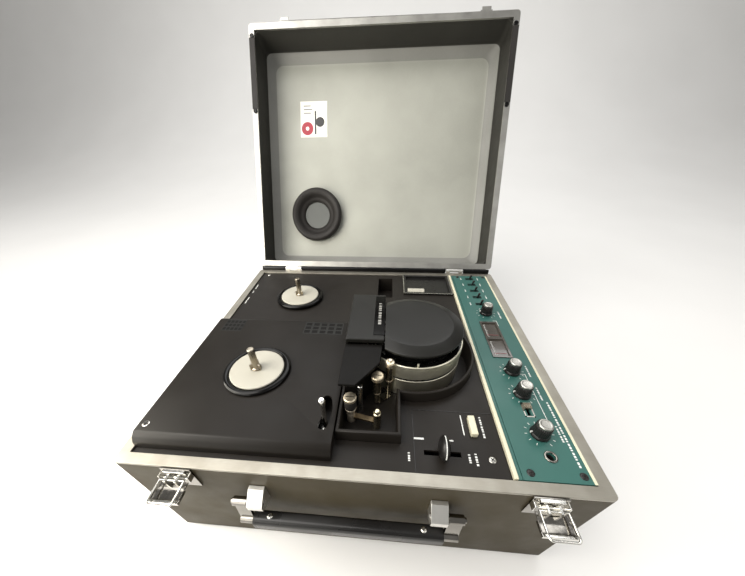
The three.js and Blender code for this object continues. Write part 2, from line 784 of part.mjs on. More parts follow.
function tensionArm() {
  const plate = [2, 4];
  const [x, y] = onTension(TENSION.rest);
  return joined(
    link([TENSION.x, TENSION.y], [x, y], 8, plate),
    post(TENSION.x, TENSION.y, 5, [DECK_TOP + GAP, 7]),
    post(x, y, 2.4, [3, 44]),
    post(x, y, 3.2, [43, 49]),
  ).subtract(post(TENSION.x, TENSION.y, 2.3, [DECK_TOP, 5.4], 12));
}

add("mechanism_tray", mechanismTray(), BLACK);
add("head_cover", headCover(), BLACK);
add("guide_posts", guidePosts(), SILVER);
add("pinch_arm", pinchArm(), BRASS);
add("pinch_roller", pinchRoller(), RUBBER);
add("capstan", capstan(), STEEL);
add("tension_arm", tensionArm(), CHROME);

// ---- head drum ----
const SLIT = [10.6, 13.4]; // the video heads run in this slit
const DRUM_TOP = 32.2;
const SUPPORT_X = [-12.5, 0]; // column that carries cover and upper drum

function lowerDrum() {
  const bottom = TRAY.floor + GAP;
  const body = post(DRUM.x, DRUM.y, DRUM.r, [bottom, SLIT[0]], 48);
  return body.subtract(post(DRUM.x, DRUM.y, 5.4, [bottom - 1, SLIT[0] + 1]));
}

function headRotor() {
  const { x, y, r } = DRUM;
  const profile = [
    [0, PULLEY_Z - 3],
    [5, PULLEY_Z - 3],
    [5, PULLEY_Z],
    [DRUM_PULLEY_R, PULLEY_Z],
    [DRUM_PULLEY_R, PULLEY_Z + PULLEY_H],
    [5, PULLEY_Z + PULLEY_H],
    [5, SLIT[0] + 0.4],
    [r - 0.3, SLIT[0] + 0.4],
    [r - 0.3, SLIT[1] - 0.4],
    [20, SLIT[1] - 0.4],
    [20, 24],
    [48, 24],
    [48, 27],
    [14, 27],
    [14, 38],
    [0, 38],
  ];
  const headZ = [SLIT[0] + 0.6, SLIT[1] - 0.6];
  const heads = [-1, 1].map((side) => {
    const tip = x + side * (r - 0.4);
    return block([tip - 0.7, tip + 0.7], [y - 1.5, y + 1.5], headZ);
  });
  return joined(turned(x, y, profile, 28), ...heads);
}

function upperDrum() {
  const { x, y, r } = DRUM;
  const ring = post(x, y, r, [SLIT[1], DRUM_TOP], 48);
  const tab = block([SUPPORT_X[1] + GAP, x - r + 3], [y - 12, y + 12], [18, 30]);
  const pin = post(x + 2, y - r + 3, 1.2, [DRUM_TOP - 1, DRUM_TOP + 4], 12);
  return joined(ring, tab, pin).subtract(post(x, y, 50, [SLIT[1] - 1, DRUM_TOP + 1], 48));
}

function drumCover() {
  const { x, y } = DRUM;
  const low = 44;
  const wall = 2.5;
  const left = [-16, CAP_CHORD];
  const side = [-66, 28];
  const round = (shrink, z0, z1) => {
    const cap = [
      [0, z0],
      [56.1 - shrink, z0],
      [56.1 - shrink, 47 - shrink],
      [44 - shrink, z1],
      [0, z1],
    ];
    const half = block([CAP_CHORD + shrink - 1, x + 60], [y - 60, y + 60], [z0 - 1, z1 + 1]);
    return turned(x, y, cap, 48).intersect(half);
  };
  const hood = without(
    joined(round(0, low, CAP_TOP), block(left, side, [low, COVER_TOP])),
    round(wall, low - 1, CAP_TOP - wall),
    block([left[0] + wall, left[1]], [side[0] + wall, side[1] - wall], [low - 1, COVER_TOP - wall]),
    block([15, 27], [-60, 24], [COVER_TOP - 0.8, COVER_TOP + 1]),
  );
  const column = without(
    block(SUPPORT_X, [-56, 20], [TRAY.floor + GAP, COVER_TOP - 1]),
    block([SUPPORT_X[0] + wall, SUPPORT_X[1] - wall], [-53.5, 17.5], [TRAY.floor - 1, low]),
  );
  return joined(
    hood,
    column,
    block([left[0], left[0] + wall], side, [TRAY.lip + 0.6, low + 1]),
  );
}

add("lower_drum", lowerDrum(), SILVER);
add("head_rotor", headRotor(), STEEL);
add("upper_drum", upperDrum(), SILVER);
add("drum_cover", drumCover(), BLACK);

// ---- drive: motor under the deck, flat belt round motor, drum and capstan pulleys ----
function driveMotor() {
  const { x, y, r } = MOTOR;
  const legs = [20, -80, -125].map((degrees) => {
    const a = THREE.MathUtils.degToRad(degrees);
    const at = [x + (r - 5) * Math.cos(a), y + (r - 5) * Math.sin(a)];
    return post(...at, 4, [-42, DECK_TOP - DECK_T - GAP], 10);
  });
  const can = post(x, y, r - 1, [-108, -41], 24);
  const flange = post(x, y, r, [-44, -39], 24);
  return joined(can, flange, ...legs).subtract(post(x, y, 3.4, [-60, -38], 16));
}

function motorPulley() {
  const { x, y, pulley } = MOTOR;
  return joined(
    post(x, y, pulley, [PULLEY_Z, PULLEY_Z + PULLEY_H]),
    post(x, y, 3, [-58, PULLEY_Z + 1], 16),
  );
}

// Outer tangent loop round circles listed counter-clockwise.
function beltLoop(wheels, grow) {
  const shape = new THREE.Shape();
  wheels.forEach((wheel, i) => {
    const before = wheels[(i + wheels.length - 1) % wheels.length];
    const after = wheels[(i + 1) % wheels.length];
    const leaving = (a, b) => {
      const dx = b.x - a.x;
      const dy = b.y - a.y;
      return Math.atan2(dy, dx) - Math.acos((a.r - b.r) / Math.hypot(dx, dy));
    };
    shape.absarc(wheel.x, wheel.y, wheel.r + grow, leaving(before, wheel), leaving(wheel, after));
  });
  shape.closePath();
  return shape;
}

function driveBelt() {
  const wheels = [
    { x: MOTOR.x, y: MOTOR.y, r: MOTOR.pulley },
    { x: DRUM.x, y: DRUM.y, r: DRUM_PULLEY_R },
    { x: CAPSTAN.x, y: CAPSTAN.y, r: CAPSTAN.flywheel },
  ];
  const z = PULLEY_Z + 2;
  const height = PULLEY_H - 4;
  const outer = solid(extruded(beltLoop(wheels, 1.4), height, 6).translate(0, 0, z));
  const inner = solid(extruded(beltLoop(wheels, GAP), height + 2, 6).translate(0, 0, z - 1));
  return outer.subtract(inner);
}

add("drive_motor", driveMotor(), STEEL);
add("motor_pulley", motorPulley(), BRASS);
add("drive_belt", driveBelt(), RUBBER);

// ---- function lever and record key ----
function functionLever() {
  const { x, y, hub, pivotZ } = LEVER;
  const wing = new THREE.SphereGeometry(1, 16, 10).scale(6.6, 14, 14).translate(x, y, 8);
  const below = block([x - 20, x + 20], [y - 20, y + 20], [-20, 1.6]);
  const boss = new THREE.CylinderGeometry(5, 5, hub, 16).translate(x, y, pivotZ);
  const bore = new THREE.CylinderGeometry(2.3, 2.3, hub + 2, 12).translate(x, y, pivotZ);
  return joined(
    solid(wing).subtract(below),
    block([x - 2.6, x + 2.6], [y - 1.8, y + 1.8], [pivotZ, 3]),
    solid(boss),
  ).subtract(solid(bore));
}

function recordKey() {
  const { x, y, w, l } = KEY;
  return joined(
    block([x - w / 2, x + w / 2], [y - l / 2, y + l / 2], [-9, 2.6]),
    block([x - 2, x + 2], [y - 2, y + 2], [-16, -8]),
    block([x - 5, x + 5], [y - 13, y + 13], [-11, -9]),
  );
}

add("function_lever", functionLever(), BLACK);
add("record_key", recordKey(), CREAM);

// ---- control panel ----
const METER = { x: [165, 187], y: [-32, 41] };
const SLIDE = { x: 178, y: -111, travel: 7 };
const JACK = { x: 180, y: -162 };
const toggleAt = (i) => TOGGLE_Y0 - TOGGLE_STEP * i;

function controlPanel() {
  const low = DECK_TOP - DECK_T;
  const through = [low - 1, PANEL_TOP + 1];
  const [x0, x1] = PANEL_X;
  const [y0, y1] = DECK_Y;
  const edge = 5;
  const toggles = Array.from({ length: TOGGLE_COUNT }, (_, i) =>
    block([TOGGLE_X - 5.5, TOGGLE_X + 5.5], [toggleAt(i) - 2.2, toggleAt(i) + 2.2], through),
  );
  return without(
    block(PANEL_X, DECK_Y, [low, PANEL_TOP]),
    block([x0 + edge, x1 - edge], [y0 + edge, y1 - edge], [low - 1, PANEL_TOP - 2.5]),
    block(METER.x, METER.y, through),
    block([SLIDE.x - 2, SLIDE.x + 2], [SLIDE.y - 7.5, SLIDE.y + 7.5], through),
    post(JACK.x, JACK.y, 3.6, through, 20),
    ...KNOB_Y.map((y) => post(KNOB_X, y, 3.6, through, 16)),
    ...toggles,
  );
}

function meterUnit() {
  const { x, y } = METER;
  const top = PANEL_TOP + GAP + 1;
  const body = block([x[0] + GAP, x[1] - GAP], [y[0] + GAP, y[1] - GAP], [-24, top]);
  const flange = block([x[0] - 1, x[1] + 1], [y[0] - 1, y[1] + 1], [PANEL_TOP + GAP, top]);
  const middle = (y[0] + y[1]) / 2;
  const dial = (low, high) => block([x[0] + 1.5, x[1] - 1.5], [low, high], [top - 2, top + 1]);
  return joined(body, flange).subtract(dial(y[0] + 1.5, middle - 2)).subtract(dial(middle + 2, y[1] - 1.5));
}

function knob(y) {
  const low = PANEL_TOP + 0.6;
  const profile = [
    [0, -9],
    [3, -9],
    [3, low],
    [9.8, low],
    [10, low + 2.5],
    [8.6, low + 3.5],
    [7.6, low + 14],
    [6.2, low + 14.4],
    [6, low + 16],
    [0, low + 16],
  ];
  return turned(KNOB_X, y, profile, 20);
}

// Toggle: ball in the panel with a flattened bat, tilted to one side about its own pivot.
const TOGGLE_PIVOT_Z = -3;
const TOGGLE_TILT = 14;

function toggle(i) {
  const y = toggleAt(i);
  const ball = new THREE.SphereGeometry(1.9, 8, 6).translate(TOGGLE_X, y, TOGGLE_PIVOT_Z);
  const bat = new THREE.CylinderGeometry(2, 1.2, 12, 8).scale(1, 1, 0.8).rotateX(Math.PI / 2);
  bat.translate(0, 0, 6).rotateY(THREE.MathUtils.degToRad(TOGGLE_TILT));
  bat.translate(TOGGLE_X, y, TOGGLE_PIVOT_Z);
  return joined(solid(ball), solid(bat));
}

function slideSwitch() {
  const { x, y, travel } = SLIDE;
  const at = y + travel / 2;
  return joined(
    block([x - 3.6, x + 3.6], [at - 3.5, at + 3.5], [PANEL_TOP + GAP, PANEL_TOP + 3.6]),
    block([x - 1.5, x + 1.5], [at - 2.5, at + 2.5], [-8, PANEL_TOP + 1]),
  );
}

add("control_panel", controlPanel(), TEAL);
add("panel_trim", block([141.5, 148.6], DECK_Y, [DECK_TOP - DECK_T, 1.5]), CREAM);
add("meter_unit", meterUnit(), DARK_GLASS);
KNOB_Y.forEach((y, i) => add("knob_" + (i + 1), knob(y), BLACK));
for (let i = 0; i < TOGGLE_COUNT; i++) add("toggle_" + (i + 1), toggle(i), BLACK);
add("slide_switch", slideSwitch(), CHROME);

// ---- origin: on the ground, under the middle of the whole object with its lid open ----
const bounds = new THREE.Box3().setFromObject(deck);
const centre = bounds.getCenter(new THREE.Vector3());
deck.position.set(-centre.x, -centre.y, -bounds.min.z);

export default deck;
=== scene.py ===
"""Portable reel to reel tape deck in its carrying case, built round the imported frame.

Lengths are in millimetres where they are plain numbers, and MM turns them into metres.
"""
import json
import math

import bmesh
import bpy
from mathutils import Matrix, Vector


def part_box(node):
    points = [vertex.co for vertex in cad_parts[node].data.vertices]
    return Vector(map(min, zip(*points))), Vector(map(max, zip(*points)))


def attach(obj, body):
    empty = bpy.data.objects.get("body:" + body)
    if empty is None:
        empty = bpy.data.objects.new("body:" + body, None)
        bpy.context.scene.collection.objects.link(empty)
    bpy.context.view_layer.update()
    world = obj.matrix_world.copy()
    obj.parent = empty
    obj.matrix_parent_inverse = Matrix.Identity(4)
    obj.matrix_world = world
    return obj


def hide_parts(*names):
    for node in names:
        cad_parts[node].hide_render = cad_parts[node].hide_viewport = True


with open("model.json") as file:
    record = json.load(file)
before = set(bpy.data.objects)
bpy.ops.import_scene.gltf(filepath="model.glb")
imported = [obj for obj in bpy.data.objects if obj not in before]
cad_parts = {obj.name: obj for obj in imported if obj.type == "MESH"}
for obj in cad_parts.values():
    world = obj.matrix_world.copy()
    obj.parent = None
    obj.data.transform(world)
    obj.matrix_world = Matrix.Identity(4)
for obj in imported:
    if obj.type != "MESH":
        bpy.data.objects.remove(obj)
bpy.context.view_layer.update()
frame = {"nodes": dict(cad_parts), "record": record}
RECORD = frame["record"]
MM = 0.001

BODY_OF = {n: body for body, nodes in RECORD["behaviour"]["bodies"].items() for n in nodes}
SLOT_OF = {s["node"]: s["material_slot"] for s in RECORD["subparts"]}
JOINT = {j["name"]: j for j in RECORD["behaviour"]["joints"]}

LOW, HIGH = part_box("base_rim")
RIM = Vector(((LOW.x + HIGH.x) / 2, (LOW.y + HIGH.y) / 2, HIGH.z))
CASE_W = HIGH.x - LOW.x
CASE_D = HIGH.y - LOW.y
DECK = -2.0  # the lower deck, in millimetres over the rim


def mm(x, y, z):
    """A vector given in millimetres."""
    return Vector((x, y, z)) * MM


def at(x, y, z=0.0):
    """A point given in millimetres from the centre of the case's rim."""
    return RIM + mm(x, y, z)


def level(z):
    """The height in metres of a place given in millimetres over the rim."""
    return RIM.z + z * MM


def over_rim(height):
    """The height in millimetres over the rim of a place given in metres."""
    return (height - RIM.z) / MM


def middle(node):
    low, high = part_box(node)
    return (low + high) / 2


def top(node):
    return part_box(node)[1].z


# ---- the lid: drawn shut, then turned open about its hinge ----
HINGE = Vector(JOINT["lid_hinge"]["pos_m"])
LID_TURN = Matrix.Rotation(-math.radians(JOINT["lid_hinge"]["range_deg"][1]), 4, "X")
OPEN_LID = Matrix.Translation(HINGE) @ LID_TURN @ Matrix.Translation(-HINGE)


# ---- materials ----
class Surface:
    """A principled material whose colour, roughness and bump come from procedural nodes."""

    def __init__(self, name, color, roughness, metallic=0.0):
        self.material = bpy.data.materials.new(name)
        self.material.use_nodes = True
        self.tree = self.material.node_tree
        self.shader = self.tree.nodes["Principled BSDF"]
        self.shader.inputs["Base Color"].default_value = (*color, 1)
        self.shader.inputs["Roughness"].default_value = roughness
        self.shader.inputs["Metallic"].default_value = metallic
        self.color = color
        self.roughness = roughness
        self.normal = None
        self.coords = self.tree.nodes.new("ShaderNodeTexCoord").outputs["Object"]

    def link(self, a, b):
        self.tree.links.new(a, b)

    def mapped(self, scale):
        node = self.tree.nodes.new("ShaderNodeMapping")
        node.inputs["Scale"].default_value = scale
        self.link(self.coords, node.inputs["Vector"])
        return node.outputs["Vector"]

    def noise(self, scale, detail=3.0, stretch=(1, 1, 1)):
        node = self.tree.nodes.new("ShaderNodeTexNoise")
        node.inputs["Scale"].default_value = scale
        node.inputs["Detail"].default_value = detail
        self.link(self.mapped(stretch), node.inputs["Vector"])
        return node.outputs["Fac"]

    def ranged(self, value, low, high, start=0.3, end=0.7):
        node = self.tree.nodes.new("ShaderNodeMapRange")
        node.inputs["From Min"].default_value = start
        node.inputs["From Max"].default_value = end
        node.inputs["To Min"].default_value = low
        node.inputs["To Max"].default_value = high
        self.link(value, node.inputs["Value"])
        return node.outputs["Result"]

    def tint(self, value, other, start=0.35, end=0.65):
        """Colour that goes from the present one to another as value rises."""
        node = self.tree.nodes.new("ShaderNodeMix")
        node.data_type = "RGBA"
        socket = self.shader.inputs["Base Color"]
        if socket.is_linked:
            self.link(socket.links[0].from_socket, node.inputs["A"])
        else:
            node.inputs["A"].default_value = (*self.color, 1)
        node.inputs["B"].default_value = (*other, 1)
        self.link(self.ranged(value, 0, 1, start, end), node.inputs["Factor"])
        self.link(node.outputs["Result"], socket)
        return self

    def rough(self, value, spread):
        low = max(0.02, self.roughness - spread)
        self.link(self.ranged(value, low, self.roughness + spread), self.shader.inputs["Roughness"])
        return self

    def bump(self, value, distance, strength=0.5):
        node = self.tree.nodes.new("ShaderNodeBump")
        node.inputs["Distance"].default_value = distance
        node.inputs["Strength"].default_value = strength
        self.link(value, node.inputs["Height"])
        if self.normal is not None:
            self.link(self.normal, node.inputs["Normal"])
        self.normal = node.outputs["Normal"]
        self.link(self.normal, self.shader.inputs["Normal"])
        return self

    def dull(self, level):
        self.shader.inputs["Specular IOR Level"].default_value = level
        return self

    def coat(self, weight, roughness=0.1):
        self.shader.inputs["Coat Weight"].default_value = weight
        self.shader.inputs["Coat Roughness"].default_value = roughness
        return self


def painted(name, color, dark, roughness, metallic=0.0, grain=1800):
    """Enamel: faint mottling, a fine orange-peel skin and patches rubbed glossier."""
    s = Surface(name, color, roughness, metallic)
    s.tint(s.noise(9, 4), dark)
    s.rough(s.noise(26, 4), 0.07)
    s.bump(s.noise(grain, 2), 0.00004, 0.35)
    return s


def metal(name, color, shade, roughness, stretch=(1, 1, 1), scale=900):
    """Bare metal with brush or turning marks along the axes that are stretched least."""
    s = Surface(name, color, roughness, 1.0)
    s.tint(s.noise(40, 3), shade)
    s.rough(s.noise(scale, 3, stretch), 0.06)
    s.bump(s.noise(scale, 2, stretch), 0.00003, 0.3)
    return s


def flecked(surface, color):
    """Fine flecks of metal in the lacquer."""
    return surface.tint(surface.noise(2600, 1), color, 0.62, 0.7)


M = {
    "case": flecked(
        painted("case_lacquer", (0.049, 0.039, 0.021), (0.039, 0.031, 0.0165), 0.52).dull(0.15),
        (0.074, 0.061, 0.037)),
    "lid": flecked(
        painted("lid_lacquer", (0.34, 0.345, 0.305), (0.28, 0.285, 0.25), 0.5, 0.1),
        (0.4, 0.4, 0.36)),
    # The lid's lacquer made darker for the lining's sloping border: painted shade.
    "sloped_lid_painted_shade": flecked(
        painted("sloped_lid_lacquer_painted_shade", (0.22, 0.22, 0.205), (0.18, 0.18, 0.165), 0.45).dull(0.3),
        (0.28, 0.28, 0.26)),
    # The lid's lacquer made near black for the lining's upright walls: painted shade.
    "lid_inner_wall_painted_shade": flecked(
        painted("lid_inner_wall_lacquer_painted_shade", (0.03, 0.029, 0.025), (0.024, 0.023, 0.02), 0.5).dull(0.15),
        (0.055, 0.054, 0.048)),
    "lid_edge": metal(
        "lid_edge_aluminium", (0.38, 0.375, 0.35), (0.3, 0.295, 0.275), 0.42, (0.05, 1, 1), 1500),
    "rim": metal("rim_aluminium", (0.38, 0.36, 0.31), (0.31, 0.29, 0.245), 0.46, (0.05, 1, 1), 1500),
    "deck": painted("deck_enamel", (0.0128, 0.0106, 0.0084), (0.0097, 0.008, 0.0064), 0.46).dull(0.2),
    "stage": painted("stage_enamel", (0.0105, 0.0087, 0.0068), (0.008, 0.0066, 0.0052), 0.46).dull(0.18),
    "cover": painted(
        "cover_enamel", (0.0088, 0.0086, 0.0072), (0.0068, 0.0066, 0.0055), 0.36, grain=1300).dull(0.26),
    "head": painted(
        "head_cover_enamel", (0.0045, 0.004, 0.0034), (0.0034, 0.003, 0.0026), 0.5, grain=1300).dull(0.12),
    "moulded": painted("black_moulding", (0.009, 0.0085, 0.008), (0.006, 0.0056, 0.0053), 0.3).dull(0.4),
    "rubber": painted(
        "black_rubber", (0.012, 0.0105, 0.0095), (0.017, 0.015, 0.0135), 0.6, grain=900).dull(0.3),
    "chrome": metal("bright_chrome", (0.74, 0.73, 0.69), (0.64, 0.63, 0.59), 0.13, scale=500),
    # Chrome made dark in colour to stand for the dark room it reflects: painted reflection.
    "painted_dark_chrome": metal("chrome_painted_dark_reflection", (0.3, 0.285, 0.26), (0.2, 0.19, 0.17), 0.1, scale=300),
    "nickel": metal("worn_nickel", (0.4, 0.36, 0.29), (0.26, 0.22, 0.16), 0.3, (1, 1, 0.1), 1500),
    "steel": metal("turned_steel", (0.56, 0.55, 0.52), (0.45, 0.44, 0.41), 0.28, (0.1, 0.1, 1), 2500),
    "drum": metal("drum_aluminium", (0.86, 0.83, 0.69), (0.7, 0.67, 0.54), 0.46, (0.02, 0.02, 1), 4200),
    "brass": metal("plated_brass", (0.6, 0.54, 0.4), (0.42, 0.36, 0.24), 0.25, (0.1, 0.1, 1), 2500),
    "cap": metal("post_caps", (0.78, 0.7, 0.55), (0.55, 0.47, 0.34), 0.42, (0.1, 0.1, 1), 2500),
    "satin": metal("satin_chrome", (0.8, 0.79, 0.75), (0.7, 0.69, 0.65), 0.34, scale=900),
    # Plating mottled strongly between bright and dark: painted reflection streaks.
    "plated": painted("plating_painted_reflections", (0.62, 0.58, 0.5), (0.3, 0.25, 0.18), 0.25, 0.5),
    "arm": metal("pinch_arm_brass", (0.3, 0.23, 0.14), (0.2, 0.15, 0.09), 0.35, scale=1200),
    "white": painted("reel_moulding", (0.42, 0.405, 0.345), (0.37, 0.355, 0.3), 0.42).dull(0.3),
    "cream": painted("cream_moulding", (0.62, 0.59, 0.44), (0.55, 0.52, 0.38), 0.4),
    "teal": painted("teal_enamel", (0.03, 0.105, 0.09), (0.025, 0.09, 0.077), 0.38).dull(0.35),
    "window": painted("smoked_window", (0.035, 0.03, 0.024), (0.05, 0.043, 0.034), 0.12).coat(0.6, 0.04),
    "gloss": painted("black_gloss", (0.003, 0.0029, 0.0028), (0.0022, 0.0021, 0.002), 0.14).dull(0.2),
    "felt": painted("grey_felt", (0.11, 0.115, 0.11), (0.09, 0.094, 0.09), 0.9, grain=700),
    "card": painted("label_card", (0.78, 0.77, 0.72), (0.72, 0.7, 0.65), 0.6),
    "spun": metal("spun_caps", (0.5, 0.49, 0.45), (0.38, 0.37, 0.34), 0.3, scale=1400),
    "print": painted("white_print", (0.72, 0.73, 0.7), (0.6, 0.61, 0.58), 0.5),
    "red": painted("red_print", (0.32, 0.018, 0.035), (0.26, 0.016, 0.03), 0.5),
}
MATERIAL_OF_SLOT = {
    "case_grey": "case",
    "lid_grey": "lid",
    "rim_aluminium": "rim",
    "deck_black": "deck",
    "moulded_black": "moulded",
    "cover_black": "cover",
    "rubber_black": "rubber",
    "chrome_bright": "chrome",
    "steel_plain": "steel",
    "drum_silver": "drum",
    "reel_white": "white",
    "trim_cream": "cream",
    "panel_teal": "teal",
    "brass_plain": "brass",
    "meter_dark": "window",
}


# ---- making pieces ----
def link_object(name, mesh, *materials):
    piece = bpy.data.objects.new(name, mesh)
    bpy.context.scene.collection.objects.link(piece)
    for key in materials:
        mesh.materials.append(M[key].material)
    return piece


def shaded(bm, sharp=35):
    """Smooth faces with a crease wherever two of them meet at more than `sharp` degrees."""
    for face in bm.faces:
        face.smooth = True
    for edge in bm.edges:
        edge.smooth = len(edge.link_faces) == 2 and edge.calc_face_angle(0) < math.radians(sharp)


def from_bmesh(name, bm, *materials, sharp=35):
    bmesh.ops.recalc_face_normals(bm, faces=bm.faces)
    shaded(bm, sharp)
    mesh = bpy.data.meshes.new(name)
    bm.to_mesh(mesh)
    bm.free()
    return link_object(name, mesh, *materials)


def rounded(piece, width, segments=3, angle=40):
    """Rounds every sharp edge of a piece by `width` metres."""
    bevel = piece.modifiers.new("rounded", "BEVEL")
    bevel.width = width
    bevel.segments = segments
    bevel.limit_method = "ANGLE"
    bevel.angle_limit = math.radians(angle)
    bevel.harden_normals = True
    return piece


def stand_for(piece, *nodes):
    """The piece stands in for these frame nodes: it goes on their body and they are hidden."""
    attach(piece, BODY_OF[nodes[0]])
    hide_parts(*nodes)
    return piece


def trim(piece, body):
    """The piece is extra detail fixed to a body."""
    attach(piece, body)
    return piece


def lathe_into(bm, profile, centre, segments=72, material=0):
    """Turns a list of (radius, z) pairs, in millimetres, about an upright axis through centre."""
    turn = [2 * math.pi * k / segments for k in range(segments)]
    rings = []
    for r, z in profile:
        if r == 0:
            rings.append([bm.verts.new(centre + mm(0, 0, z))])
        else:
            rings.append([bm.verts.new(centre + mm(r * math.cos(a), r * math.sin(a), z)) for a in turn])
    for low, high in zip(rings, rings[1:]):
        for k in range(segments):
            n = (k + 1) % segments
            corners = [low[k % len(low)], low[n % len(low)], high[n % len(high)], high[k % len(high)]]
            unique = list(dict.fromkeys(corners))
            if len(unique) > 2:
                bm.faces.new(unique).material_index = material


def turned(name, profile, centre, *materials, segments=72, sharp=35):
    bm = bmesh.new()
    lathe_into(bm, profile, centre, segments)
    return from_bmesh(name, bm, *materials, sharp=sharp)


def colour_faces(verts, material):
    for face in {f for v in verts for f in v.link_faces}:
        face.material_index = material


def box_into(bm, low, high, material=0):
    """Adds a block between two corners."""
    made = bmesh.ops.create_cube(bm, size=1)["verts"]
    for v in made:
        v.co = Vector([(low[k] + high[k]) / 2 + v.co[k] * (high[k] - low[k]) for k in range(3)])
    colour_faces(made, material)


def turned_block_into(bm, size, place, angle, material=0):
    """Adds a block of a size in millimetres, centred on place and turned about an upright axis."""
    made = bmesh.ops.create_cube(bm, size=1)["verts"]
    for v in made:
        v.co = mm(*(v.co[k] * size[k] for k in range(3)))
    bmesh.ops.rotate(bm, verts=made, matrix=Matrix.Rotation(angle, 3, "Z"))
    bmesh.ops.translate(bm, verts=made, vec=place)
    colour_faces(made, material)


def rod_into(bm, radius, length, centre, across, segments=24):
    """Adds a round rod, sizes in millimetres, lying level and square to the axis named by across."""
    made = bmesh.ops.create_cone(bm, cap_ends=True, segments=segments, radius1=radius * MM,
                                 radius2=radius * MM, depth=length * MM)["verts"]
    bmesh.ops.rotate(bm, verts=made, matrix=Matrix.Rotation(math.pi / 2, 3, across))
    bmesh.ops.translate(bm, verts=made, vec=centre)


def surround(low, high, edge_x, edge_y):
    """The left, right, near and far bars of a rectangular surround between two corners."""
    return [
        (low, Vector((low.x + edge_x, high.y, high.z))),
        (Vector((high.x - edge_x, low.y, low.z)), high),
        (low, Vector((high.x, low.y + edge_y, high.z))),
        (Vector((low.x, high.y - edge_y, low.z)), high),
    ]


def boxes(name, corners, *materials, edge=0.0):
    """One piece made of several blocks, each (low corner, high corner)."""
    bm = bmesh.new()
    for low, high in corners:
        box_into(bm, low, high)
    piece = from_bmesh(name, bm, *materials)
    return rounded(piece, edge) if edge else piece


def ring_faces(bm, low, high, material=0):
    """Joins two loops of the same length with faces."""
    for k in range(len(low)):
        n = (k + 1) % len(low)
        bm.faces.new((low[k], low[n], high[n], high[k])).material_index = material


def prism_into(bm, outline, z0, z1, material=0):
    """Adds an upright prism over a list of (x, y) points in metres, in order round the outline."""
    low = [bm.verts.new((x, y, z0)) for x, y in outline]
    high = [bm.verts.new((x, y, z1)) for x, y in outline]
    for end in (low, high):
        bm.faces.new(end).material_index = material
    ring_faces(bm, low, high, material)


def bar_into(bm, start, end, half, z0, z1, material=0):
    """Adds a flat bar between two points, its half width and heights in millimetres."""
    along = (end - start).normalized()
    across = Vector((-along.y, along.x, 0)) * half * MM
    outline = [start - across, end - across, end + across, start + across]
    prism_into(bm, [p.xy[:] for p in outline], level(z0), level(z1), material)


def loft(name, loops, *materials, sharp=35):
    """Capped skin over loops that all have the same number of points."""
    bm = bmesh.new()
    rings = [[bm.verts.new(p) for p in loop] for loop in loops]
    bm.faces.new(rings[0])
    bm.faces.new(rings[-1])
    for low, high in zip(rings, rings[1:]):
        ring_faces(bm, low, high)
    return from_bmesh(name, bm, *materials, sharp=sharp)


def rounded_loop(half_x, half_y, radius, z, steps=6):
    """Rounded rectangle about the case's centre, with its sizes in millimetres."""
    points = []
    for corner, (sx, sy) in enumerate(((1, 1), (-1, 1), (-1, -1), (1, -1))):
        for k in range(steps + 1):
            a = math.radians(90 * (corner + k / steps))
            x = sx * (half_x - radius) + radius * math.cos(a)
            y = sy * (half_y - radius) + radius * math.sin(a)
            points.append(at(x, y, z))
    return points


def wire(name, points, radius, *materials, cyclic=False):
    """Round wire along points, as a mesh."""
    curve = bpy.data.curves.new(name, "CURVE")
    curve.dimensions = "3D"
    curve.bevel_depth = radius
    curve.bevel_resolution = 3
    curve.use_fill_caps = True
    spline = curve.splines.new("POLY")
    spline.points.add(len(points) - 1)
    for point, place in zip(spline.points, points):
        point.co = (*place, 1)
    spline.use_cyclic_u = cyclic
    holder = bpy.data.objects.new(name + "_line", curve)
    mesh = bpy.data.meshes.new_from_object(holder)
    mesh.name = name
    bpy.data.objects.remove(holder)
    for face in mesh.polygons:
        face.use_smooth = True
    mesh.materials.clear()
    return link_object(name, mesh, *materials)


def finished(node, edge=0.0, sharp=35, key=None):
    """The frame's own shape for a node, with its flat faces joined up and, when an edge width is given, its
    edges rounded.
    """
    key = key or MATERIAL_OF_SLOT[SLOT_OF[node]]
    bm = bmesh.new()
    bm.from_mesh(frame["nodes"][node].data)
    bmesh.ops.remove_doubles(bm, verts=bm.verts, dist=1e-6)
    bmesh.ops.dissolve_limit(bm, angle_limit=math.radians(0.5), verts=bm.verts, edges=bm.edges)
    piece = from_bmesh(node + "_finished", bm, key, sharp=sharp)
    if edge:
        rounded(piece, edge, 2)
    return stand_for(piece, node)


def eased(profile, radius, steps=4):
    """The same open outline with each corner between its ends turned into a curve."""
    points = [Vector(p) for p in profile]
    out = [points[0]]
    for before, corner, after in zip(points, points[1:], points[2:]):
        reach_in = min(radius, (corner - before).length / 2)
        reach_out = min(radius, (after - corner).length / 2)
        a = corner + (before - corner).normalized() * reach_in
        b = corner + (after - corner).normalized() * reach_out
        for k in range(steps + 1):
            t = k / steps
            out.append(a * (1 - t) ** 2 + corner * (2 * t * (1 - t)) + b * t ** 2)
    out.append(points[-1])
    return out


# ---- stage: floor, light and camera ----
def make_stage():
    sweep = eased([(-6, 0), (3, 0), (3, 5)], 2, 24)
    bm = bmesh.new()
    rows = [[bm.verts.new((x, y, z)) for y, z in sweep] for x in (-8, 8)]
    for k in range(len(sweep) - 1):
        bm.faces.new((rows[0][k], rows[0][k + 1], rows[1][k + 1], rows[1][k]))
    floor = from_bmesh("floor", bm)
    pale = Surface("floor_paper", (0.74, 0.735, 0.72), 0.8)
    pale.tint(pale.noise(3, 2), (0.72, 0.715, 0.7))
    floor.data.materials.append(pale.material)
    world = bpy.data.worlds.new("studio")
    world.use_nodes = True
    background = world.node_tree.nodes["Background"]
    background.inputs["Color"].default_value = (1, 0.985, 0.96, 1)
    background.inputs["Strength"].default_value = 0.35
    bpy.context.scene.world = world
    bpy.context.scene.view_settings.view_transform = "Standard"


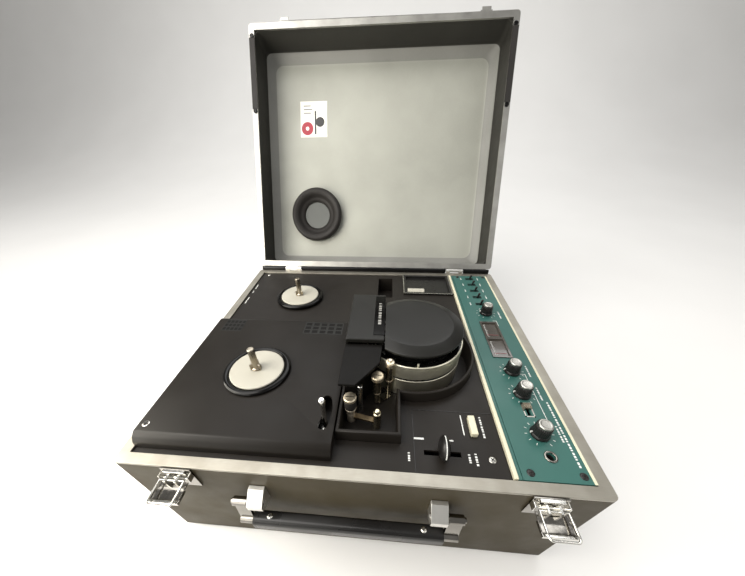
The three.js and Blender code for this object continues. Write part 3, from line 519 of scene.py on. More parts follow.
def softbox(name, place, aim, size, power, color=(1, 1, 1)):
    data = bpy.data.lights.new(name, "AREA")
    data.shape = "RECTANGLE"
    data.size, data.size_y = size
    data.energy = power
    data.color = color
    lamp = bpy.data.objects.new(name, data)
    lamp.location = place
    lamp.rotation_euler = (aim - place).to_track_quat("-Z", "Y").to_euler()
    bpy.context.scene.collection.objects.link(lamp)


def make_camera():
    """Close wide-angle view from above the front edge."""
    data = bpy.data.cameras.new("camera")
    data.sensor_width = 36
    data.lens = 13.56
    data.shift_x = 0.0164
    data.shift_y = 0.0721
    data.clip_start = 0.01
    camera = bpy.data.objects.new("camera", data)
    yaw = Matrix.Rotation(0.103, 4, "Z")
    pitch = Matrix.Rotation(-0.704, 4, "X")
    roll = Matrix.Rotation(0.028, 4, "Y")
    level = Matrix.Rotation(math.pi / 2, 4, "X")
    camera.matrix_world = Matrix.Translation(at(25, -300.9, 246.7)) @ yaw @ pitch @ roll @ level
    bpy.context.scene.collection.objects.link(camera)
    bpy.context.scene.camera = camera


make_stage()
make_camera()
softbox("key", at(-900, -500, 1500), at(0, 0, 0), (1.6, 1.4), 36, (1, 0.97, 0.93))
softbox("fill", at(1100, -500, 900), at(0, 0, 0), (1.0, 1.0), 4.5, (1, 0.98, 0.96))
softbox("window", at(-850, -1100, 420), at(-80, 250, 150), (1.2, 0.9), 9, (1, 0.97, 0.9))
softbox("bounce", at(-520, -160, 170), at(-60, 280, 120), (0.4, 0.4), 4, (1, 0.95, 0.84))
softbox("back", at(0, 1500, 2200), at(0, 900, 0), (3.2, 1.6), 50)


def arc(centre, radius, start, end, steps):
    """Points along a circle, angles in degrees."""
    turn = [math.radians(start + (end - start) * k / steps) for k in range(steps + 1)]
    return [Vector((centre[0] + radius * math.cos(a), centre[1] + radius * math.sin(a))) for a in turn]


def cut(piece, cutter):
    """Takes the cutter's shape out of the piece and keeps the result as a plain mesh."""
    boolean = piece.modifiers.new("cut", "BOOLEAN")
    boolean.operation = "DIFFERENCE"
    boolean.object = cutter
    boolean.solver = "EXACT"
    settle(piece)
    bpy.data.objects.remove(cutter)
    return piece


def settle(piece):
    """Turns a piece and its modifiers into a plain mesh."""
    graph = bpy.context.evaluated_depsgraph_get()
    mesh = bpy.data.meshes.new_from_object(piece.evaluated_get(graph))
    if "custom_normal" in mesh.attributes:
        mesh.attributes.remove(mesh.attributes["custom_normal"])
    bm = bmesh.new()
    bm.from_mesh(mesh)
    shaded(bm)
    bm.to_mesh(mesh)
    bm.free()
    piece.modifiers.clear()
    piece.data = mesh
    return piece


def on_lid(piece):
    """Carries a piece drawn for the shut lid to where the open lid is."""
    piece.data.transform(OPEN_LID)
    return piece


# ---- lid ----
CUP = OPEN_LID.inverted() @ middle("lid_cup") - RIM
CUP_R = (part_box("lid_cup")[1].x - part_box("lid_cup")[0].x) / 2 / MM
LID_LOW = 5.1  # the lid shut, heights in millimetres over the rim
LID_TOP = 68
LID_PANEL = 62
LID_SLOPE = 11.7  # the drop from the panel to the foot of its sloping border
STRIP_X = 214.5  # the rubber strips' middle lines, either side of the case's
STRIP_SCREWS_Y = (-178, -68)


def lid_shell():
    """Lacquered box with a moulded lining whose walls slope in to a flat panel, with painted shade: the
    lining's upright walls are near black and its sloping border a darker grey than the panel.
    """
    outside = [(2, LID_LOW), (0, LID_LOW), (0, LID_TOP), (8, LID_TOP)]
    lining = [(9.5, LID_LOW), (9.5, LID_PANEL - LID_SLOPE), (22.8, LID_PANEL), (34, LID_PANEL)]
    loops = [(inset, z, 5) for inset, z in eased(outside, 1.5)]
    inner = [(inset, z, 6 + inset / 3) for inset, z in eased(lining, 5, 5)]
    rings = [
        rounded_loop(CASE_W / MM / 2 - inset, CASE_D / MM / 2 - inset, r, z)
        for inset, z, r in list(reversed(loops)) + inner
    ]
    finishes = ("lid", "sloped_lid_painted_shade", "lid_inner_wall_painted_shade", "case")
    shell = loft("lid_shell_lined", rings, *finishes, sharp=50)
    for face in shell.data.polygons:
        z = face.center.z
        outward = max(abs(face.center.x - RIM.x) / CASE_W, abs(face.center.y - RIM.y) / CASE_D)
        # The upright walls take the near-black painted shade, and the sloping border the grey painted shade.
        finish = "lid"
        if outward > 0.49 or z > level(LID_PANEL + 1):
            finish = "case"
        elif z < level(LID_PANEL - LID_SLOPE):
            finish = "lid_inner_wall_painted_shade"
        elif z < level(LID_PANEL - 0.5):
            finish = "sloped_lid_painted_shade"
        face.material_index = finishes.index(finish)
    stand_for(on_lid(shell), "lid_shell")


def lid_cup():
    """Rubber ring with a rolled lip, round a grey felt disc."""
    depth = LID_PANEL - 0.3
    ring = [(25, depth), (49, depth), (CUP_R, depth - 7), (CUP_R - 0.6, depth - 14), (47, depth - 17.6),
            (43, depth - 17.6), (38, depth - 15), (33, depth - 8), (25, depth - 4)]
    place = RIM + Vector((CUP.x, CUP.y, 0))
    cup = turned("lid_cup_ring", eased(ring, 2.5) + [Vector(ring[0])], place, "rubber", sharp=70)
    stand_for(on_lid(cup), "lid_cup")
    disc = [(0, depth - 0.2), (25.5, depth - 0.2), (25.5, depth - 3), (0, depth - 3)]
    trim(on_lid(turned("lid_cup_felt", disc, place, "felt")), "lid")


def strip_screws():
    """Flat-headed screws at both ends of each rubber strip."""
    head = eased([(0, 0.2), (2.4, 0.25), (3.6, 0.7), (3.6, 1.6), (0, 1.6)], 0.3)
    for side, name in ((-1, "left"), (1, "right")):
        for y in STRIP_SCREWS_Y:
            place = at(side * STRIP_X, y)
            screw = turned("strip_screw_%s_%d" % (name, -y), head, place, "gloss", segments=24)
            trim(on_lid(screw), "lid")


def lid_label():
    """Plain card that shows how a reel sits on its table, drawn as a disc and a side view."""
    z = LID_PANEL - 0.5
    blocks = {
        "lid_card": ("card", 0.1, [(at(-150.5, -113, z), at(-98, -52, z + 0.3))]),
        "lid_card_shaft": ("moulded", 0, [(at(-122.5, -97, z - 0.15), at(-119.5, -57, z))]),
        "lid_card_rows": ("felt", 0, [(at(-144, y, z - 0.1), at(-130 + indent, y + 1.4, z))
                                      for y, indent in ((-106, 0), (-100, 3), (-94, 0))]),
    }
    for name, (key, edge, corners) in blocks.items():
        trim(on_lid(boxes(name, corners, key, edge=edge * MM)), "lid")
    discs = {
        "lid_card_reel": ("red", 11.5, 0.15, (-137, -67), 48),
        "lid_card_hub": ("card", 3.4, 0.25, (-137, -67), 32),
        "lid_card_boss": ("moulded", 8.5, 0.2, (-112, -78), 32),
    }
    for name, (key, radius, rise, place, segments) in discs.items():
        profile = [(0, z - rise), (radius, z - rise), (radius, z), (0, z)]
        trim(on_lid(turned(name, profile, at(*place), key, segments=segments)), "lid")


def hinge_black_strip():
    """Black round cord along the hinge line, on a black flange fixed to the back of the case, which fills the
    line between the lid and the case with black.
    """
    end = CASE_W / 2 / MM - 4
    cord_radius = 3.2
    flange_depth = 9
    gap = 1.2  # between the cord and each hinge leaf
    leaves = [[(corner.x - RIM.x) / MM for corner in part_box("hinge_base_" + side)]
              for side in ("left", "right")]
    (a, b), (c, d) = sorted((low - gap, high + gap) for low, high in leaves)
    back = RIM.y + CASE_D / 2
    for k, (x0, x1) in enumerate(((-end, a), (b, c), (d, end))):
        cord = [Vector((at(x, 0).x, HINGE.y, HINGE.z)) for x in (x0, x1)]
        trim(wire("hinge_seal_cord_%d" % k, cord, cord_radius * MM, "gloss"), "case")
        flange = (Vector((cord[0].x, back + 0.4 * MM, level(-flange_depth))),
                  Vector((cord[1].x, back + 1.8 * MM, HINGE.z)))
        trim(boxes("hinge_seal_flange_%d" % k, [flange], "gloss", edge=0.3 * MM), "case")


# ---- deck ----
STAGE_LOW, STAGE_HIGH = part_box("reel_cover")
STAGE = over_rim(STAGE_HIGH.z)  # the raised platform's top
DRUM = middle("lower_drum")
DRUM_AXIS = Vector((DRUM.x, DRUM.y, RIM.z))
DRUM_R = (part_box("lower_drum")[1].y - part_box("lower_drum")[0].y) / 2
DRUM_SLIT = over_rim(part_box("lower_drum")[1].z)  # the lower edge of the slit that the heads run in
TENSION_PIVOT = Vector(JOINT["tension_arm_pivot"]["pos_m"])
TENSION_REST = -13  # the arm's direction at rest, in degrees
TENSION_REACH = 49.5  # from its pivot to its post, in millimetres


def reel_stage():
    """Raised platform with a stepped front, open round the front reel table and the tension arm."""
    z0, z1 = STAGE_LOW.z, STAGE_HIGH.z
    y0, y1 = STAGE_LOW.y, STAGE_HIGH.y
    outline = [(y0, z0), (y0 + 0.5 * MM, z0 + 7 * MM), (y0 + 4 * MM, z1 - 3 * MM), (y0 + 8 * MM, z1),
               (y1 - 2 * MM, z1), (y1, z1 - 2 * MM), (y1, z0)]
    side = eased(outline, 1.6 * MM)
    ends = [[Vector((x, y, z)) for y, z in side] for x in (STAGE_LOW.x, STAGE_HIGH.x)]
    stage = settle(rounded(loft("reel_stage", ends, "stage", sharp=50), 0.9 * MM, 2, 60))
    reel = middle("reel_table_front")
    well = [(0, -9), (10.8, -9), (10.8, 20), (0, 20)]
    cut(stage, turned("well_cutter", well, Vector((reel.x, reel.y, RIM.z))))
    cut(stage, slot_cutter(z0, z1))
    hollow = (Vector((STAGE_LOW.x + 2 * MM, y0 + 6 * MM, z0 - 1 * MM)),
              Vector((STAGE_HIGH.x - 2 * MM, y1 - 3 * MM, z1 - 3 * MM)))
    cut(stage, boxes("hollow_cutter", [hollow]))
    stand_for(stage, "reel_cover")


def slot_cutter(z0, z1):
    """Curved slot that the tension arm's post travels in."""
    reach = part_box("tension_arm")[1].x - TENSION_PIVOT.x - 3.6 * MM
    start = TENSION_REST - 5
    end = TENSION_REST + JOINT["tension_arm_pivot"]["range_deg"][1] + 3
    half = 4.5 * MM
    outer = arc(TENSION_PIVOT, reach + half, start, end, 16)
    inner = arc(TENSION_PIVOT, reach - half, end, start, 16)
    first = arc(TENSION_PIVOT, reach, start, start, 1)[0]
    last = arc(TENSION_PIVOT, reach, end, end, 1)[0]
    cap_end = arc(last, half, end, end + 180, 8)
    cap_start = arc(first, half, start + 180, start + 360, 8)
    bm = bmesh.new()
    prism_into(bm, [tuple(p) for p in outer + cap_end[1:-1] + inner + cap_start[1:-1]], z0 - MM, z1 + MM)
    return from_bmesh("slot_cutter", bm)


def reel_table(name):
    """White flanged disc in a black rubber-edged ring."""
    low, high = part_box("reel_table_" + name)
    table = middle("reel_table_" + name)
    centre = Vector((table.x, table.y, high.z))
    radius = (high.x - low.x) / 2 / MM
    floor = STAGE_HIGH.z if name == "front" else level(DECK)
    seat = (floor - high.z) / MM + 0.6
    white = [(3.1, -8.6), (3.1, -0.4), (5.5, 0), (29.6, 0), (30.4, -0.6), (30.4, -2.2), (29, -2.2)]
    groove = [(6.2, -8.6), (6.2, -3), (29, -3), (31.4, -2.6)]
    ring = [(31.4, -2.6), (31.8, -1.2), (33.4, -0.3), (radius - 2.2, -0.3), (radius, -2), (radius, seat),
            (5.6, seat), (5.6, -40)]
    bm = bmesh.new()
    lathe_into(bm, eased(white, 0.5), centre, 96, 0)
    lathe_into(bm, groove, centre, 96, 1)
    lathe_into(bm, eased(ring, 1.2), centre, 96, 1)
    disc = from_bmesh("reel_table_" + name + "_disc", bm, "white", "gloss", sharp=50)
    stand_for(disc, "reel_table_" + name)


def reel_spindle(name):
    """Splined spindle with a chamfered nose that the hub of a reel drops over."""
    table = middle("reel_table_" + name)
    base = top("reel_table_" + name)
    centre = Vector((table.x, table.y, base))
    height = (top("reel_spindle_" + name) - base) / MM
    shaft = [(0, 0.3), (5.5, 0.3), (5.5, 1.8), (3.9, 3), (3.9, 9), (3.9, height - 0.8), (3.2, height),
             (0, height)]
    bm = bmesh.new()
    lathe_into(bm, eased(shaft, 0.6), centre, 40)
    for angle in (90, 210, 330):
        blade = bmesh.ops.create_cube(bm, size=1)["verts"]
        for v in blade:
            v.co = mm(v.co.x * 4.6 + 4.6, v.co.y * 1.5, v.co.z * 7.5 + 4.2 + v.co.x * -1.2)
        bmesh.ops.rotate(bm, verts=blade, matrix=Matrix.Rotation(math.radians(angle), 3, "Z"))
        bmesh.ops.translate(bm, verts=blade, vec=centre)
    spindle = rounded(from_bmesh("reel_spindle_" + name + "_shaft", bm, "nickel"), 0.25 * MM, 2)
    stand_for(spindle, "reel_spindle_" + name)


TRAY_LIP = 6 * MM  # the flange under the deck that the tray's box includes
TRAY_CORNER = at(46, 30)  # where its straight sides would meet the circle round the drum


def tray_outline(grow):
    """Plan of the mechanism tray: a rectangle beside a circle round the drum, in metres."""
    low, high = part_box("mechanism_tray")
    radius = high.x - TRAY_LIP - DRUM.x + grow
    x0, y0 = low.x + TRAY_LIP - grow, low.y + TRAY_LIP - grow
    x1, y1 = TRAY_CORNER.x + grow, TRAY_CORNER.y + grow
    right = math.degrees(-math.acos((x1 - DRUM.x) / radius))
    back = math.degrees(math.pi - math.asin((y1 - DRUM.y) / radius))
    return [Vector((x0, y0)), Vector((x1, y0))] + arc(DRUM, radius, right, back, 72) + [Vector((x0, y1))]


def mechanism_tray():
    """Cast tray with a thick rounded lip round the tape path."""
    low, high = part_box("mechanism_tray")
    wall = 3.5 * MM
    floor = low.z + 3 * MM
    rim = high.z
    r = 1.1 * MM
    steps = [(0, low.z), (0, rim - r), (r * 0.3, rim - r * 0.3), (r, rim), (wall - r, rim),
             (wall - r * 0.3, rim - r * 0.3), (wall, rim - r), (wall, floor)]
    sides = list(zip(tray_outline(0), tray_outline(-wall)))
    loops = [[Vector((*a.lerp(b, inset / wall), z)) for a, b in sides] for inset, z in steps]
    stand_for(loft("mechanism_tray_cast", loops, "deck", sharp=50), "mechanism_tray")


def prism_piece(name, outline, z0, z1, edge, *materials):
    bm = bmesh.new()
    prism_into(bm, [tuple(p) for p in outline], z0, z1)
    return rounded(from_bmesh(name, bm, *materials), edge, 3, 20)


def head_cover():
    """Plate level with the drum's housing, on narrower walls, its right side cut back."""
    low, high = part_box("head_cover")
    plate = [(low.x, high.y), (low.x, low.y), (at(0.8, 0).x, low.y), at(23.3, -94.5).xy, (high.x, high.y)]
    walls = [at(*p).xy for p in ((-12.5, -67), (-12.5, -106), (1, -106), (19.5, -78), (19.5, -75), (14, -67))]
    under = high.z - 3.4 * MM
    stand_for(prism_piece("head_cover_plate", plate, under, high.z, 0.7 * MM, "head"), "head_cover")
    inside = prism_piece("head_cover_walls", walls, low.z, under + 0.5 * MM, 0.5 * MM, "head")
    trim(inside, "case")


# ---- head drum ----
def drum():
    """Two fine-turned rings with the head slit between them and a bright chamfer on each edge."""
    r = DRUM_R / MM
    low = over_rim(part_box("lower_drum")[0].z)
    slit = DRUM_SLIT
    lower = [(5.4, low), (r - 0.6, low), (r, low + 0.6), (r, slit - 0.4), (r - 0.4, slit), (5.4, slit),
             (5.4, low)]
    stand_for(turned("lower_drum_turned", lower, DRUM_AXIS, "drum", segments=128), "lower_drum")
    base = slit + 2.8
    edge = 32.2
    upper = [(50, base), (r - 0.4, base), (r, base + 0.4), (r, edge - 0.8), (r - 0.8, edge), (r - 1.4, edge),
             (53, edge), (52.4, edge - 1.6), (50, edge - 1.6), (50, base)]
    bm = bmesh.new()
    lathe_into(bm, upper, DRUM_AXIS, 128)
    for face in bm.faces:
        reach = (face.calc_center_median() - DRUM_AXIS).xy.length
        if reach < (r - 1.4) * MM:
            face.material_index = 1
    box_into(bm, at(0.3, -43.6, 18), at(7, -19.6, 30))
    pin = [(0, edge), (1.2, edge), (1.2, edge + 3.2), (0.8, edge + 4), (0, edge + 4)]
    lathe_into(bm, pin, at(64, -86.5), 20)
    stand_for(from_bmesh("upper_drum_turned", bm, "drum", "gloss"), "upper_drum")


def head_rotor():
    """Spinning disc with the two heads, its hub and the pulley below."""
    r = DRUM_R / MM - 0.3
    z0, z1 = (over_rim(corner.z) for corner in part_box("head_rotor"))
    slit = DRUM_SLIT
    disc = [(0, z0), (5, z0), (5, z0 + 3), (22, z0 + 3), (22, z0 + 5), (21, z0 + 6), (21, z0 + 10),
            (22, z0 + 11), (22, z0 + 13), (5, z0 + 13), (5, slit + 0.4), (r, slit + 0.4), (r, slit + 2.4),
            (20, slit + 2.4), (20, 24), (48, 24), (48, 27), (14, 27), (14, z1 - 1), (13, z1), (0, z1)]
    bm = bmesh.new()
    lathe_into(bm, disc, DRUM_AXIS, 96)
    for side in (-1, 1):
        tip = side * (r - 0.1)
        box_into(bm, DRUM_AXIS + mm(tip - 0.7, -1.5, slit + 0.6), DRUM_AXIS + mm(tip + 0.7, 1.5, slit + 2.2))
    stand_for(from_bmesh("head_rotor_turned", bm, "steel"), "head_rotor")


def drum_cover():
    """Round cap with a sloping rim beside a square-shouldered housing on a column."""
    cap_top = over_rim(top("drum_cover"))
    under = 44
    radius = 56.1
    chord = 28  # where the housing cuts the cap off
    rings = []
    for r, z in eased([(50, under), (radius, under), (radius, 47), (44, cap_top), (36, cap_top)], 1.2):
        reach = math.degrees(math.acos((at(chord, 0).x - DRUM.x) / (r * MM)))
        rings.append([Vector((*p, level(z))) for p in arc(DRUM, r * MM, -reach, reach, 72)])
    stand_for(loft("drum_cap", rings, "cover", sharp=50), "drum_cover")
    blocks = {
        "drum_housing": ("cover", 1.6, [(at(-16, -66, under), at(chord - 0.4, 28, 50))]),
        "drum_housing_skirt": ("cover", 0.5, [(at(-15.8, -65.8, 8.8), at(-13, 27.8, 48)),
                                              (at(-12.5, -56, -14.5), at(0, 20, 48))]),
        "drum_badge": ("gloss", 0.4, [(at(14.6, -58, 49.4), at(27.4, 23, 50.7))]),
    }
    for name, (key, edge, corners) in blocks.items():
        trim(boxes(name, corners, key, edge=edge * MM), "case")
    # Black band under the cap's rim: the drum's own dark inside, and painted shade for the shadowed gap under
    # the cap.
    collar = [(49.4, 33.2), (49.4, 45), (48, 45), (48, 33.2), (49.4, 33.2)]
    trim(turned("drum_cap_dark_band", collar, DRUM_AXIS, "gloss", segments=96), "case")
    dashes("drum_badge_marks", at(21, 6, 50.7), 9, 3.8, 3.4, key="spun")


# ---- tape path: places on the deck, heights in millimetres over the rim ----
WIDE_GUIDE = at(21.5, -99.7)
SLIM_GUIDE = at(34, -88.5)
GUIDE_BASE = -14.7
PINCH_PIVOT = at(22.5, -131)
PINCH_AXLE = at(-5.2, -125)
PINCH_BASE = -14.5


def tape_guides():
    """Roller guide with a screwed cap, slim flanged guide, and the base they stand on."""
    foot = GUIDE_BASE + 2
    wide_cap = [(0, 24.4), (6.6, 24.4), (6.8, 25.4), (6.8, 28.6), (6, 30), (0, 30)]
    wide = [
        (1, [(0, foot), (3.2, foot), (3.2, 1.8), (0, 1.8)]),
        (3, eased([(0, 1.8), (4, 1.8), (4, 3.4), (0, 3.4)], 0.4)),
        (1, [(0, 3.4), (3.8, 3.4), (4.2, 4.4), (4.2, 24.4), (0, 24.4)]),
        (4, eased(wide_cap, 0.6)),
    ]
    slim_cap = [(0, 33.2), (4.9, 33.2), (5.3, 34), (5.3, 38), (4.6, 39.8), (2.2, 40), (2, 42.3), (0, 42.3)]
    slim = [
        (1, [(0, foot), (3, foot), (3, 11), (0, 11)]),
        (3, eased([(0, 11), (4.5, 11), (4.5, 13), (3.6, 13.2), (0, 13.2)], 0.4)),
        (1, [(0, 13), (4, 13), (4, 33.4), (0, 33.4)]),
        (4, eased(slim_cap, 0.5)),
    ]
    bm = bmesh.new()
    for centre, parts in ((WIDE_GUIDE, wide), (SLIM_GUIDE, slim)):
        for index, profile in parts:
            lathe_into(bm, profile, centre, 40, index)
    box_into(bm, *slot_corners(WIDE_GUIDE, 30), 2)
    bar_into(bm, WIDE_GUIDE, SLIM_GUIDE, 4.5, GUIDE_BASE, foot)
    guides = from_bmesh("tape_guides", bm, "painted_dark_chrome", "brass", "moulded", "plated", "cap")
    stand_for(guides, "guide_posts")


def slot_corners(place, z):
    """Corners of the screwdriver slot in the top of a post."""
    return place + mm(-4.4, -0.5, z - 0.3), place + mm(4.4, 0.5, z + 0.05)


def pinch_assembly():
    """Brass arm with its pivot stud and, at the far end, the post that carries the pinch roller."""
    stud = [(0, PINCH_BASE), (4.2, PINCH_BASE), (4.2, 7.8), (2.8, 8.4), (2.8, 11.4), (2, 12), (0, 12)]
    foot = [(0, PINCH_BASE + 0.4), (4.7, PINCH_BASE + 0.4), (4.7, -3), (4.1, -2), (4.1, 1), (4.8, 2),
            (4.8, 5.6), (6.3, 6.3), (6.3, 7.4), (2, 7.6)]
    cap = [(2, 19.8), (6.4, 19.8), (6.8, 20.4), (6.8, 23), (6.1, 24), (0, 24)]
    bm = bmesh.new()
    lathe_into(bm, eased(stud, 0.5), PINCH_PIVOT, 32, 1)
    lathe_into(bm, eased(foot, 0.5), PINCH_AXLE, 40, 3)
    lathe_into(bm, [(2, 7.6), (2, 19.8)], PINCH_AXLE, 24, 3)
    lathe_into(bm, eased(cap, 0.5), PINCH_AXLE, 40, 0)
    box_into(bm, *slot_corners(PINCH_AXLE, 24), 2)
    bar_into(bm, PINCH_PIVOT, PINCH_AXLE, 2.8, -7.4, -5, 4)
    arm = from_bmesh("pinch_arm_assembly", bm, "cap", "brass", "moulded", "plated", "arm")
    stand_for(arm, "pinch_arm")
    sleeve = eased([(2.3, 8), (6, 8), (6.3, 8.6), (6.3, 18.8), (6, 19.4), (2.3, 19.4)], 0.4)
    roller = turned("pinch_roller_sleeve", sleeve + [sleeve[0]], PINCH_AXLE, "rubber", segments=48)
    stand_for(roller, "pinch_roller")


def capstan():
    """Ground shaft above its flywheel."""
    centre = Vector((middle("capstan").x, middle("capstan").y, RIM.z))
    z0, z1 = (over_rim(corner.z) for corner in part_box("capstan"))
    wheel = [(0, z0), (4, z0), (4, z0 + 8), (35, z0 + 8), (36, z0 + 9), (36, z0 + 17), (35, z0 + 18),
             (6, z0 + 18), (6, -20), (2.5, -20), (2.5, z1 - 0.6), (1.9, z1), (0, z1)]
    stand_for(turned("capstan_shaft", wheel, centre, "steel", segments=64), "capstan")


def tension_arm():
    """Thin arm under the platform with a tall chromed post and its roller."""
    base = Vector((TENSION_PIVOT.x, TENSION_PIVOT.y, RIM.z))
    rest = math.radians(TENSION_REST)
    tip = base + Vector((math.cos(rest), math.sin(rest), 0)) * TENSION_REACH * MM
    bm = bmesh.new()
    lathe_into(bm, [(0, 5.6), (2.4, 5.6), (2.4, -1.6), (5, -1.6), (5, 7), (0, 7)], base, 32)
    post = [(0, 3), (2.4, 3), (2.4, 40), (3.1, 41.5), (3.2, 47.4), (2.4, 49), (0, 49)]
    lathe_into(bm, eased(post, 0.8), tip, 32)
    bar_into(bm, base, tip, 3.8, 2, 4)
    stand_for(from_bmesh("tension_arm_post", bm, "chrome"), "tension_arm")


# ---- function lever and record key ----
def function_lever():
    """Paddle whose flat sides swell towards the middle, with a pale line along its crest."""
    wing = middle("function_lever")
    centre = Vector((wing.x, wing.y, level(8)))
    bm = bmesh.new()
    made = bmesh.ops.create_uvsphere(bm, u_segments=40, v_segments=24, radius=1)["verts"]
    for v in made:
        v.co = centre + mm(v.co.x * 5.2, v.co.y * 11.5, max(v.co.z * 11.5, -6.2))
    box_into(bm, centre + mm(-2.6, -1.8, -54), centre + mm(2.6, 1.8, -5))
    rod_into(bm, 5, 13, Vector((wing.x, wing.y, level(-45))), "X", 32)
    stand_for(from_bmesh("function_paddle", bm, "moulded", sharp=60), "function_lever")
    turn = [math.radians(-86 + 5 * k) for k in range(25)]
    crest = [centre + mm(0, 11.4 * math.sin(a), 11.4 * math.cos(a)) for a in turn]
    line = wire("function_paddle_line", crest, 0.5 * MM, "print")
    trim(line, "function_lever")


def record_key():
    """Cream key on a black stem."""
    low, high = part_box("record_key")
    x, y = middle("record_key").xy
    cap = (Vector((x - 3.25 * MM, y - 10.75 * MM, low.z + 6 * MM)),
           Vector((x + 3.25 * MM, y + 10.75 * MM, high.z)))
    stand_for(boxes("record_key_cap", [cap], "cream", edge=0.8 * MM), "record_key")
    stem = [(Vector((x - 2 * MM, y - 2 * MM, low.z)), Vector((x + 2 * MM, y + 2 * MM, low.z + 7 * MM))),
            (low + mm(0, 0, 5), Vector((high.x, high.y, low.z + 7 * MM)))]
    trim(boxes("record_key_stem", stem, "moulded"), "record_key")


# ---- control panel ----
PANEL_TOP = top("control_panel")
PANEL = over_rim(PANEL_TOP)
PRINT = 0.12  # how far printing stands off its surface, in millimetres


def knob(index):
    """Skirted, fluted knob with a spun aluminium cap and a white pointer line."""
    node = "knob_%d" % index
    low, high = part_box(node)
    centre = Vector((middle(node).x, middle(node).y, low.z))
    radius = (high.x - low.x) / 2 / MM - 0.9
    tall = (high.z - low.z) / MM
    base = (PANEL_TOP - low.z) / MM + 0.6
    skirt = [(3, base), (radius, base), (radius, base + 1.6), (8.2, base + 3.4), (7, base + 3.6)]
    bm = bmesh.new()
    lathe_into(bm, [(0, 0), (3, 0), (3, base)], centre, 20, 0)
    lathe_into(bm, eased(skirt, 0.5), centre, 64, 0)
    flutes = 24
    depths = (0.55, 0.2, 0.1, 0.2)  # round one flute, from its groove to its crest and back
    points = flutes * len(depths)
    rings = []
    for z, r in ((base + 3.2, 8.3), (tall - 3, 7.6), (tall - 2.4, 7.1)):
        ring = []
        for k in range(points):
            a = 2 * math.pi * k / points
            reach = r - depths[k % len(depths)]
            ring.append(bm.verts.new(centre + mm(reach * math.cos(a), reach * math.sin(a), z)))
        rings.append(ring)
    for lower, upper in zip(rings, rings[1:]):
        ring_faces(bm, lower, upper)
    bm.faces.new(rings[-1])
    cap = [(6.5, tall - 2.6), (6.5, tall - 0.9), (5.9, tall - 0.1), (4.6, tall - 0.1), (4.2, tall - 0.35),
           (0, tall - 0.35)]
    lathe_into(bm, eased(cap, 0.4), centre, 64, 1)
    box_into(bm, centre + mm(-9.6, -0.4, base + 1.6), centre + mm(-6.9, 0.4, base + 3.9), 2)
    stand_for(from_bmesh(node + "_fluted", bm, "moulded", "spun", "print"), node)


def knob_scale(index):
    """Ring of tick marks round a knob."""
    node = "knob_%d" % index
    centre = Vector((*middle(node).xy, PANEL_TOP))
    radius = 12.6
    tick = (2.2, 0.5, PRINT)
    bm = bmesh.new()
    for degrees in range(-60, 241, 30):
        a = math.radians(degrees)
        place = centre + mm(radius * math.cos(a), radius * math.sin(a), PRINT / 2)
        turned_block_into(bm, tick, place, a)
    trim(from_bmesh(node + "_scale", bm, "print"), "case")


def dashes(name, place, count, length, width, key="print"):
    """A column of short bars, towards the front, where the real object carries a word."""
    corners = []
    for k in range(count):
        size = length * (1 if k % 3 else 0.6)
        start = place - mm(0, k * length * 1.35, 0)
        corners.append((start - mm(width / 2, size, 0), start + mm(width / 2, 0, PRINT)))
    trim(boxes(name, corners, key), "case")


def flat_marks(name, areas, z, height, key):
    """Flat bars on a surface at z, each ((x, y), (x, y)) of two corners in millimetres."""
    corners = [(at(x0, y0, z), at(x1, y1, z + height)) for (x0, y0), (x1, y1) in areas]
    trim(boxes(name, corners, key), "case")


def panel_legends():
    """Thin rules and word-like rows of bars along both edges of the panel, and beside the switches."""
    far_switch, pitch = 173, 20.7
    for k, knob_y in enumerate((60, -56, -90, -139)):
        dashes("legend_%d" % k, at(198, knob_y + 10, PANEL), 7, 2.0, 1.6)
    for k in range(5):
        y = far_switch - pitch * k
        dashes("switch_legend_left_%d" % k, at(162, y + 3.5, PANEL), 3, 1.8, 1.5)
        dashes("switch_legend_right_%d" % k, at(191, y + 5, PANEL), 4, 1.9, 1.5)
    rules = [((192.5, -128), (193.1, -60)), ((186, -60.3), (193.1, -59.7)), ((186, -128.3), (193.1, -127.7)),
             ((189, 34), (189.6, 46)), ((184, 45.4), (189.6, 46))]
    flat_marks("panel_rules", rules, PANEL, PRINT, "print")
    dashes("edge_legend", at(201.5, -100, PANEL), 24, 2.2, 1.7)


def screw(name, place, radius, key, body="case", slot="chrome_bright", turn=0.4):
    """Countersunk cross-head screw, its radius in millimetres."""
    bm = bmesh.new()
    head = eased([(0, -1), (radius * 0.8, -1), (radius, 0.1), (radius * 0.75, 0.75), (0, 1.0)], 0.4)
    lathe_into(bm, head, place, 32, 0)
    for quarter in (0, 1):
        arm = (radius * 1.15, radius * 0.24, 0.5)
        turned_block_into(bm, arm, place + mm(0, 0, 0.82), turn + quarter * math.pi / 2, 1)
    trim(from_bmesh(name, bm, key, "rubber"), body)


def deck_screws():
    """Screws that hold the deck plates, the platform and the panel."""
    screws = (  # x, y, height, radius, finish
        (-197, 178, DECK, 3, "chrome"), (-201, -163, STAGE - 0.6, 4, "chrome"),
        (128.5, -167.5, DECK, 3.5, "spun"),
        (157, -178, PANEL, 3.6, "moulded"), (200.7, -178, PANEL, 3.6, "moulded"),
        (157, 180, PANEL, 3, "moulded"), (202, 180, PANEL, 3, "moulded"))
    for k, (x, y, z, radius, key) in enumerate(screws):
        screw("deck_screw_%d" % k, at(x, y, z), radius, key, turn=0.4 + k)


